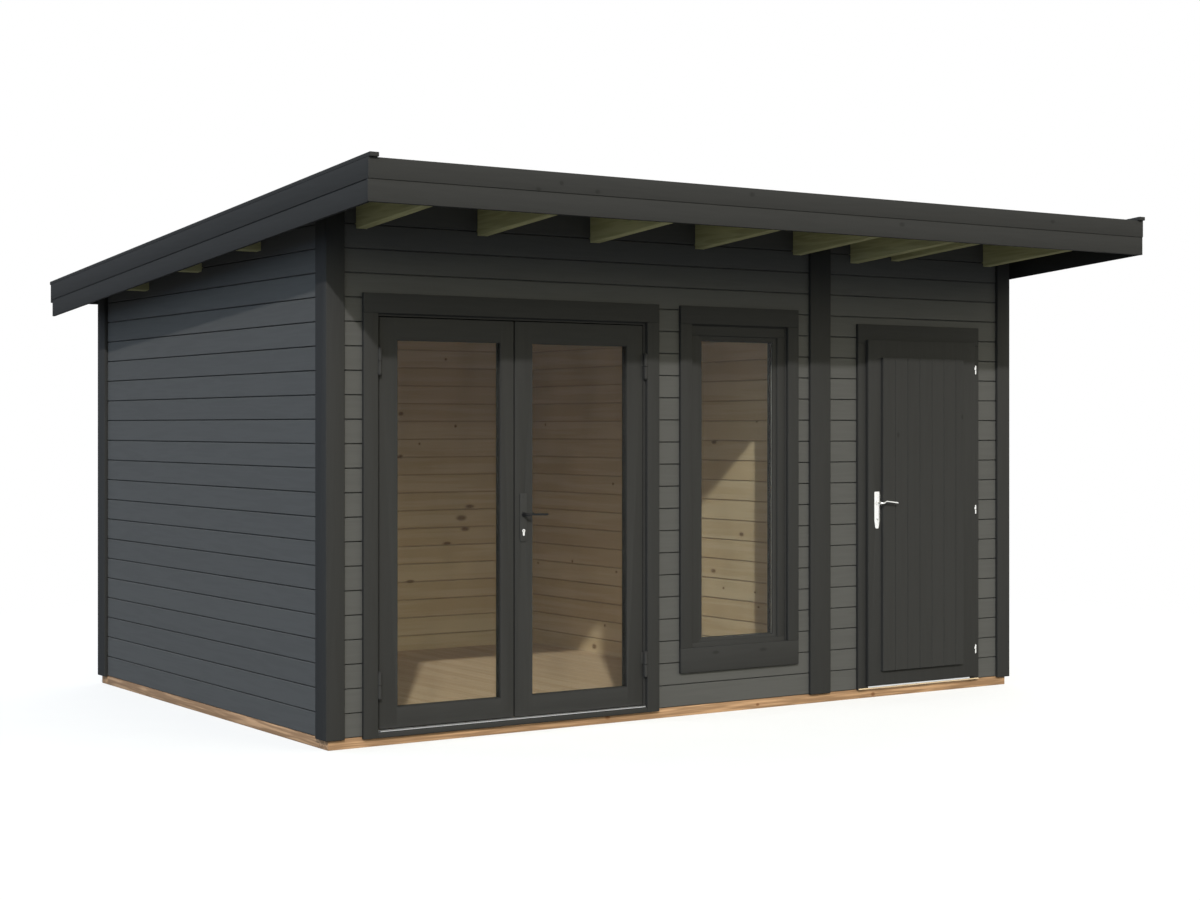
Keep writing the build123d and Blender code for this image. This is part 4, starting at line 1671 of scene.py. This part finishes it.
@dataclass
class LeverHandle:
    """A lever handle with a long plate and a key cylinder on both faces of a leaf."""

    plates: str
    lever: str
    plate_body: str
    lever_body: str
    joint: str
    metal: Metal
    lever_metal: Metal
    slot: str
    cylinder_drop: float
    taper: float
    lift_near: float
    lift_tip: float
    cylinder: KeyCylinder = KeyCylinder()
    cylinder_rise: float = 0.003
    plate_thickness: float = 0.005
    plate_corner: float = 0.006
    plate_corner_steps: int = 4
    plate_shoulder: float = 0.045
    plate_edge: float = 0.0012
    screw_drop: float = 0.016
    screw_rise: float = 0.02
    screw_radius: float = 0.0035
    screw_height: float = 0.0014
    neck_radius: float = 0.008
    neck_share: float = 0.95
    bend: float = 0.016
    bend_steps: int = 6
    grip_half_height: float = 0.0062
    grip_half_thickness: float = 0.0055
    grip_steps: int = 12
    grip_near_share: float = 0.82
    grip_growth_share: float = 0.3
    grip_slim_share: float = 0.88
    lift_share: float = 0.17
    tip_start_share: float = 0.96
    tip_share: float = 0.45
    lever_gap: float = 0.0005
    lever_inset: float = 0.001
    collar: tuple[tuple[float, float], ...] = (
        (0.0115, 0.0), (0.0115, 0.004), (0.0105, 0.0055), (0.0085, 0.006),
    )
    x: float = field(init=False)
    z: float = field(init=False)
    low: Vector = field(init=False)
    high: Vector = field(init=False)

    def __post_init__(self) -> None:
        """Finds the lever's axis and the plates' corners in the frame."""
        self.x, _, self.z = joint_place(self.joint)
        self.low, self.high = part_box(self.plates)

    def build(self) -> None:
        """Builds the plates, the levers, the cylinders and the screws."""
        plates, levers, cylinders = Shell(), Shell(), Shell()
        screws: dict[Side, list[Vector]] = {}
        thick = self.plate_thickness
        for side in Side:
            face = self.low.y + thick if side is Side.OUTER else self.high.y - thick
            self._plate(plates, face, side)
            self._lever(levers, face, side)
            centre = Vector((self.x, face, self.z - self.cylinder_drop))
            self.cylinder.add(cylinders, centre, side.value * (thick + self.cylinder_rise))
            heights = (self.high.z - self.screw_drop, self.low.z + self.screw_rise)
            screws[side] = [Vector((self.x, face + side.value * thick, z)) for z in heights]
        finish = self.metal.material()
        seat(plates.piece(self.plates + "_backs", [finish]), self.plate_body, self.slot, self.plates)
        arms = levers.piece(self.lever + "_arms", [self.lever_metal.material()])
        seat(arms, self.lever_body, self.slot, self.lever)
        lock = cylinders.piece(self.plates + "_cylinders", [PAINTS.steel.material(), PAINTS.seal.material()])
        seat(lock, self.plate_body, "steel")
        for side, points in screws.items():
            name = f"{self.plates}_{side.name.lower()}_screws"
            facing = Vector((0, side.value, 0))
            heads = studs(name, points, facing, self.screw_radius, self.screw_height, finish)
            seat(heads, self.plate_body, self.slot)

    def _plate(self, shell: Shell, face: float, side: Side) -> None:
        """Adds a plate whose lower end narrows.

        Args:
            shell: The plates.
            face: The Y of the leaf's face.
            side: The face of the leaf.
        """
        half = (self.high.x - self.low.x) / 2
        middle = (self.high.x + self.low.x) / 2
        corner, narrow = self.plate_corner, half * (1 - self.taper)
        outline = []
        for way, start in ((1, 0.0), (-1, 0.5)):
            for k in range(self.plate_corner_steps + 1):
                angle = math.pi * (start + k / (2 * self.plate_corner_steps))
                x = way * (half - corner) + corner * math.cos(angle)
                outline.append((x, self.high.z - corner + corner * math.sin(angle)))
        foot, shoulder = self.low.z, self.low.z + self.plate_shoulder
        outline += [(-half, shoulder), (-narrow, foot + corner), (-narrow + corner, foot)]
        outline += [(narrow - corner, foot), (narrow, foot + corner), (half, shoulder)]
        points = [Vector((middle + x, face, z)) for x, z in outline]
        shell.prism(points, Vector((0, side.value * self.plate_thickness, 0)), self.plate_edge)

    def _lever(self, shell: Shell, face: float, side: Side) -> None:
        """Adds a neck that bends into a grip, with a collar at the plate.

        Args:
            shell: The levers.
            face: The Y of the leaf's face.
            side: The face of the leaf.
        """
        low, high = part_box(self.lever)
        inset = self.grip_half_thickness + self.lever_inset
        reach = low.y + inset if side is Side.OUTER else high.y - inset
        start = face + side.value * (self.plate_thickness + self.lever_gap)
        path = [Vector((self.x, start, self.z)), Vector((self.x, reach - side.value * self.bend, self.z))]
        neck = self.neck_radius
        halves = [(neck * self.neck_share, neck * self.neck_share)] * 2
        for k in range(1, self.bend_steps + 1):
            share = k / self.bend_steps
            angle = math.pi / 2 * share
            x = self.x + self.bend * (1 - math.cos(angle))
            path.append(Vector((x, reach - side.value * self.bend * (1 - math.sin(angle)), self.z)))
            wide = neck + (self.grip_half_thickness - neck) * share
            halves.append((wide, neck + (self.grip_half_height - neck) * share))
        begin, tip = path[-1].x, high.x - self.lever_inset
        for k in range(1, self.grip_steps + 1):
            share = k / self.grip_steps
            near = self.lift_near * min(share / self.lift_share, 1.0)
            lift = near + (self.lift_tip - self.lift_near) * share
            size = (self.grip_near_share + self.grip_growth_share * share * share) * self.grip_slim_share
            if share >= self.tip_start_share:
                size *= self.tip_share
            path.append(Vector((begin + (tip - begin) * share, reach, self.z + lift)))
            halves.append((self.grip_half_thickness * size, self.grip_half_height * size))
        shell.sweep(path, halves, Axis.Z.unit())
        shell.turned(Vector((self.x, start, self.z)), Vector((0, side.value, 0)), list(self.collar))


@dataclass
class GlazedDoor:
    """The double glazed door: its surround, its frame and two leaves."""

    trim_side: float = 0.076
    trim_head: float = 0.095
    frame_edge: float = 0.0015
    sill_edge: float = 0.003
    leaf_edge: float = 0.0025
    threshold_plate: float = 0.0042
    threshold_lip: float = 0.02
    glass_bite: float = 0.012
    outer_seal: float = 0.0125
    # The inner seal lines the inner reveal in black: partly a seal, partly painted shade.
    inner_seal_shade: float = 0.0135
    hinge_radius: float = 0.0094
    hinge_short: float = 0.0094
    cylinder_drop: float = 0.0815
    plate_taper: float = 0.1
    lever_lift: float = 0.0
    lever_tip_lift: float = -0.001

    def build(self) -> None:
        """Builds the surround, the leaves and their fittings."""
        BoardFrame("glazed_door_trim", "building", self.trim_side, self.trim_head).build()
        for node, edge, lay in (
            ("glazed_door_frame", self.frame_edge, UPRIGHT), ("glazed_door_sill", self.sill_edge, LEVEL),
        ):
            eased(node + "_timber", node, "building", "trim_paint", edge, PAINTS.trim_paint.material(lay))
        Threshold("glazed_door_threshold", self.threshold_plate, self.threshold_lip).build()
        for side in ("left", "right"):
            body = f"{side}_leaf"
            self._leaf(f"{side}_leaf_frame", f"{side}_leaf_glass", body)
            GlassUnit(f"{side}_leaf_glass", body, PAINTS.seal, self.outer_seal, self.inner_seal_shade).build()
            BarrelHinges(
                f"{side}_leaf_hinges", body, f"{side}_leaf_swing", PAINTS.dark_metal, PAINTS.seal,
                "dark_metal", self.hinge_radius, self.hinge_short,
                fixed_nodes=("frame_hinges",) if side == "left" else (),
            ).build()
        LeverHandle(
            "right_leaf_handle_plates", "right_leaf_lever", "right_leaf", "right_leaf_handle",
            "right_leaf_lever_turn", PAINTS.dark_metal, PAINTS.lever_coat, "dark_metal",
            self.cylinder_drop, self.plate_taper, self.lever_lift, self.lever_tip_lift,
        ).build()

    def _leaf(self, node: str, glass: str, body: str) -> None:
        """Builds a leaf's frame, with the grain level in its rails.

        Args:
            node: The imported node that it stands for.
            glass: The node of its panes.
            body: The body that carries it.
        """
        low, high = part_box(glass)
        shell = Shell()
        shell.copy(node, self.leaf_edge)
        shell.level_between(low.x + self.glass_bite, high.x - self.glass_bite)
        paints = [PAINTS.trim_paint.material(UPRIGHT), PAINTS.trim_paint.material(LEVEL)]
        seat(shell.piece(node + "_timber", paints), body, "trim_paint", node)


@dataclass
class TallWindow:
    """The fixed window: surround, frame, sash, beads and glass."""

    trim_side: float = 0.073
    trim_rail: float = 0.095
    trim_foot: float = 0.129
    frame_width: float = 0.026
    frame_edge: float = 0.0015
    sash_width: float = 0.050
    sash_edge: float = 0.002
    bead_width: float = 0.024
    bottom_bead: float = 0.016
    bead_slope: float = 0.007
    bead_lip_share: float = 0.55
    outer_seal: float = 0.0025
    # Deep black lining over the inner reveal: painted shade more than a seal.
    inner_seal_shade: float = 0.022
    seal_width: float = 0.004
    spacer_depth: float = 0.004
    trim_knots: tuple[Knot, ...] = (
        Knot(0.054, -1.225, 0.322, 0.013, 2.4), Knot(0.372, -1.225, 0.318, 0.013, 2.6),
    )

    def build(self) -> None:
        """Builds the window from the wall inwards."""
        side, rail, foot = self.trim_side, self.trim_rail, self.trim_foot
        BoardFrame("window_trim", "building", side, rail, foot, knots=self.trim_knots).build()
        for node, width, edge in (
            ("window_frame", self.frame_width, self.frame_edge),
            ("window_sash", self.sash_width, self.sash_edge),
        ):
            BoardFrame(node, "building", width, width, width, edge).build()
        self._beads()
        GlassUnit(
            "window_glass", "building", PAINTS.aluminium, self.outer_seal, self.inner_seal_shade,
            self.seal_width, self.spacer_depth,
        ).build()

    def _beads(self) -> None:
        """Builds the glazing beads, mitred and sloped towards the glass."""
        low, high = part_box("window_beads")
        glass_low, glass_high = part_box("window_glass")
        shell = Shell()
        self._ring(shell, (low, high), glass_low.y, low.y)
        self._ring(shell, (low, high), glass_high.y, high.y)
        paints = [PAINTS.trim_paint.material(UPRIGHT), PAINTS.trim_paint.material(LEVEL)]
        seat(shell.piece("window_bead_strips", paints), "building", "trim_paint", "window_beads")

    def _ring(self, shell: Shell, corners: Corners, back: float, front: float) -> None:
        """Adds four mitred beads on one face of the glass.

        Args:
            shell: The beads.
            corners: The outer corners of the beads.
            back: The Y of the glass.
            front: The Y of the beads' faces.
        """
        low, high = corners
        width, foot = self.bead_width, low.z + self.bottom_bead
        left, right, head = low.x + width, high.x - width, high.z - width
        outer = [(low.x, low.z), (high.x, low.z), (high.x, high.z), (low.x, high.z)]
        inner = [(left, foot), (right, foot), (right, head), (left, head)]
        lip = front + (back - front) * self.bead_lip_share
        flat = 1 - self.bead_slope / width
        for k in range(4):
            shape = bmesh.new()
            rings = []
            for i in (k, (k + 1) % 4):
                out, far = outer[i], inner[i]
                edge = [o + (f - o) * flat for o, f in zip(out, far)]
                section = [(out, back), (out, front), (edge, front), (far, lip), (far, back)]
                rings.append([shape.verts.new((p[0], y, p[1])) for p, y in section])
            for n in range(len(section)):
                m = (n + 1) % len(section)
                shape.faces.new([rings[0][n], rings[1][n], rings[1][m], rings[0][m]])
            for ring in rings:
                shape.faces.new(ring)
            shell.take(shape, 1 if k in (0, 2) else 0)


@dataclass
class StoreDoor:
    """The store room's plank door with its surround and fittings."""

    trim_side: float = 0.072
    trim_head: float = 0.108
    frame_edge: float = 0.0015
    leaf_edge: float = 0.0025
    threshold_plate: float = 0.018
    plank_pitch: float = 0.092
    plank_groove: Groove = Groove(
        chamfer=0.0024, chamfer_depth=0.0019, slit=0.0005, slit_depth=0.005, back_slit=0.0005,
    )
    plank_knots: tuple[Knot, ...] = (
        Knot(1.299, -1.269, 1.464, 0.014, 1.6), Knot(1.79, -1.269, 1.566, 0.012, 1.6),
    )
    strip_height: float = 0.007
    strip_lift: float = 0.0005
    strip_inset: float = 0.002
    strip_front: float = 0.0015
    strip_gap: float = 0.0002
    strip_edge: float = 0.0005
    hinge_radius: float = 0.0068
    hinge_short: float = 0.0074
    hinge_cap: float = 0.002
    hinge_tab: tuple[float, float, float] = (0.0065, 0.006, 0.014)
    cylinder_drop: float = 0.0925
    plate_taper: float = 0.3
    lever_lift: float = 0.0115
    lever_tip_lift: float = -0.001
    grip_half_height: float = 0.0046

    def build(self) -> None:
        """Builds the surround, the leaf and its fittings."""
        BoardFrame("store_door_trim", "building", self.trim_side, self.trim_head).build()
        paint = PAINTS.trim_paint.material(UPRIGHT)
        eased("store_door_frame_timber", "store_door_frame", "building", "trim_paint", self.frame_edge, paint)
        eased("store_leaf_timber", "store_leaf", "store_door", "trim_paint", self.leaf_edge, paint)
        Threshold("store_door_threshold", self.threshold_plate).build()
        self._planks()
        self._foot()
        BarrelHinges(
            "store_leaf_hinges", "store_door", "store_door_swing", PAINTS.steel, PAINTS.steel, "steel",
            self.hinge_radius, self.hinge_short, self.hinge_cap, self.hinge_tab,
        ).build()
        LeverHandle(
            "store_leaf_handle_plates", "store_leaf_lever", "store_door", "store_door_handle",
            "store_lever_turn", PAINTS.steel, PAINTS.steel, "steel",
            self.cylinder_drop, self.plate_taper, self.lever_lift, self.lever_tip_lift,
            grip_half_height=self.grip_half_height,
        ).build()

    def _planks(self) -> None:
        """Lays grooved planks over the leaf, cut off at its right edge."""
        low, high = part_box("store_leaf_planks")
        count = math.ceil((high.x - low.x) / self.plank_pitch)
        place = laid(low, Axis.Z.unit(), Axis.Y.unit(), Axis.X.unit())
        paint = PAINTS.trim_paint.material(Lay(Axis.Z, Axis.X, self.plank_pitch, low.x), self.plank_knots)
        planks = Courses(self.plank_pitch, high.y - low.y, self.plank_groove)
        mesh = planks.mesh(high.z - low.z, count, place, paint, paint)
        cut_above(mesh, high, Axis.X.unit())
        seat(show("store_planks", mesh), "store_door", "trim_paint", "store_leaf_planks")

    def _foot(self) -> None:
        """Lays the bare strip that shows along the foot of the surround."""
        low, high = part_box("store_door_trim")
        near = Vector((low.x + self.strip_inset, low.y - self.strip_front, low.z + self.strip_lift))
        far = Vector((high.x - self.strip_inset, low.y - self.strip_gap, low.z + self.strip_height))
        shell = Shell()
        shell.board(near, far, self.strip_edge)
        seat(shell.piece("store_foot_strip", [PAINTS.pine.material(LEVEL)]), "building", "bare_pine")


@dataclass
class Studio:
    """The camera, the light and the pale floor."""

    eye: tuple[float, float, float] = (-6.34784, -9.69698, 1.51233)
    heading: float = -33.7822
    lens: float = 60.343
    sensor: float = 36.0
    rise: float = -0.01965
    sun_ray: tuple[float, float, float] = (0.432, 0.714, -0.535)
    sun_strength: float = 2.3
    sun_angle: float = 1.4
    sun_colour: Colour = (1.0, 0.975, 0.93)
    sky_colour: Colour = (0.20, 0.21, 0.215)
    left_glow: Colour = (0.335, 0.61, 1.01)
    front_glow: Colour = (0.42, 0.39, 0.26)
    rear_glow: Colour = (0.86, 0.88, 0.91)
    front_share: float = 0.45
    low_band: float = 5.8
    band_rise: tuple[float, float] = (0.02, 0.22)
    band_fall: tuple[float, float] = (0.75, 0.4)
    floor_reach: float = 60.0
    floor_bounce: float = 0.15
    floor_mottle: float = 0.95
    mottle_scale: float = 3.0
    mottle_detail: float = 4.0
    floor_glow_share: float = 0.55
    fade_limits: tuple[float, float] = (2.5, 7.0)

    def build(self) -> None:
        """Sets up the view, the light and the floor."""
        self._camera()
        self._light()
        self._floor()
        bpy.context.scene.view_settings.view_transform = "Standard"

    def _camera(self) -> None:
        """Stands the camera where the photograph was taken."""
        data = bpy.data.cameras.new("eye")
        data.sensor_fit, data.sensor_width, data.lens = "HORIZONTAL", self.sensor, self.lens
        data.shift_y = self.rise
        camera = bpy.data.objects.new("eye", data)
        camera.location = self.eye
        camera.rotation_euler = (math.pi / 2, 0.0, math.radians(self.heading))
        bpy.context.scene.collection.objects.link(camera)
        bpy.context.scene.camera = camera

    def _light(self) -> None:
        """Adds one soft key lamp and a sky that looks white itself."""
        data = bpy.data.lights.new("key", "SUN")
        data.energy, data.angle, data.color = self.sun_strength, math.radians(self.sun_angle), self.sun_colour
        lamp = bpy.data.objects.new("key", data)
        lamp.rotation_euler = Vector(self.sun_ray).to_track_quat("-Z", "Y").to_euler()
        bpy.context.scene.collection.objects.link(lamp)
        world = bpy.data.worlds.new("sky")
        world.use_nodes = True
        bpy.context.scene.world = world
        n = Nodes(world.node_tree)
        way = n.add("ShaderNodeSeparateXYZ", {0: n.add("ShaderNodeTexCoord").outputs["Generated"]}).outputs
        sky = n.vector("ADD", self._glow(n, way["X"], -1.0, self.left_glow), self.sky_colour)
        band = n.math("MULTIPLY", n.step(way["Z"], *self.band_rise), n.step(way["Z"], *self.band_fall))
        front = n.math("MULTIPLY", way["Y"], n.math("MULTIPLY_ADD", band, self.low_band, self.front_share))
        sky = n.vector("ADD", sky, self._glow(n, front, -1.0, self.front_glow))
        for axis in ("X", "Y"):
            sky = n.vector("ADD", sky, self._glow(n, way[axis], 1.0, self.rear_glow))
        colour = n.mix(self._seen(n), sky, WHITE)
        n.close(n.add("ShaderNodeBackground", {"Color": colour, "Strength": 1.0}), "ShaderNodeOutputWorld")

    @staticmethod
    def _glow(n: Nodes, way: bpy.types.NodeSocket, sign: float, colour: Colour) -> bpy.types.NodeSocket:
        """Gives light that grows towards one side of the sky."""
        share = n.math("MAXIMUM", n.math("MULTIPLY", way, sign), 0.0)
        return n.add("ShaderNodeVectorMath", {0: colour, "Scale": share}, operation="SCALE").outputs[0]

    @staticmethod
    def _seen(n: Nodes) -> bpy.types.NodeSocket:
        """Tells the rays that show a surface to the eye, straight or by a mirror or glass.

        Args:
            n: The nodes of the material or world.

        Returns:
            1 for such a ray, and 0 for any other.
        """
        ray = n.add("ShaderNodeLightPath").outputs
        straight = n.math("MAXIMUM", ray["Is Camera Ray"], ray["Is Glossy Ray"])
        return n.math("MAXIMUM", straight, ray["Is Transmission Ray"])

    def _floor(self) -> None:
        """Lays the pale floor."""
        mesh = bpy.data.meshes.new("floor")
        r = self.floor_reach
        mesh.from_pydata([(-r, -r, 0), (r, -r, 0), (r, r, 0), (-r, r, 0)], [], [(0, 1, 2, 3)])
        mesh.materials.append(made_once("pale_floor", self._floor_finish))
        show("floor", mesh)

    def _floor_finish(self, n: Nodes) -> None:
        """Lets the floor fade into the background and keep the shadow.

        Args:
            n: The material's nodes.
        """
        seen = self._seen(n)
        noise = n.noise(n.place(), self.mottle_scale, self.mottle_detail)
        mottle = n.mix(noise, rgba((self.floor_mottle,) * 3), WHITE)
        matt = n.add("ShaderNodeBsdfDiffuse", {"Color": n.mix(seen, rgba((self.floor_bounce,) * 3), mottle)})
        glow = n.add("ShaderNodeEmission", {"Color": WHITE, "Strength": 1.0})
        far = n.step(n.length(n.place()), *self.fade_limits)
        fade = n.math("MULTIPLY_ADD", far, 1.0 - self.floor_glow_share, self.floor_glow_share)
        share = n.math("MULTIPLY", fade, seen)
        n.close(n.add("ShaderNodeMixShader", {0: share, 1: matt.outputs[0], 2: glow.outputs[0]}))


def main() -> None:
    """Builds every sub-assembly in order."""
    logging.basicConfig(level=logging.INFO, format="%(name)s: %(message)s")
    Studio().build()
    plane = RoofPlane()
    for part in (
        GroundWork(), LogWalls(plane), Roof(plane), CoverBoards(), GlazedDoor(), TallWindow(), StoreDoor(),
    ):
        LOG.info("building %s", type(part).__name__)
        part.build()


if __name__ == "__main__":
    main()
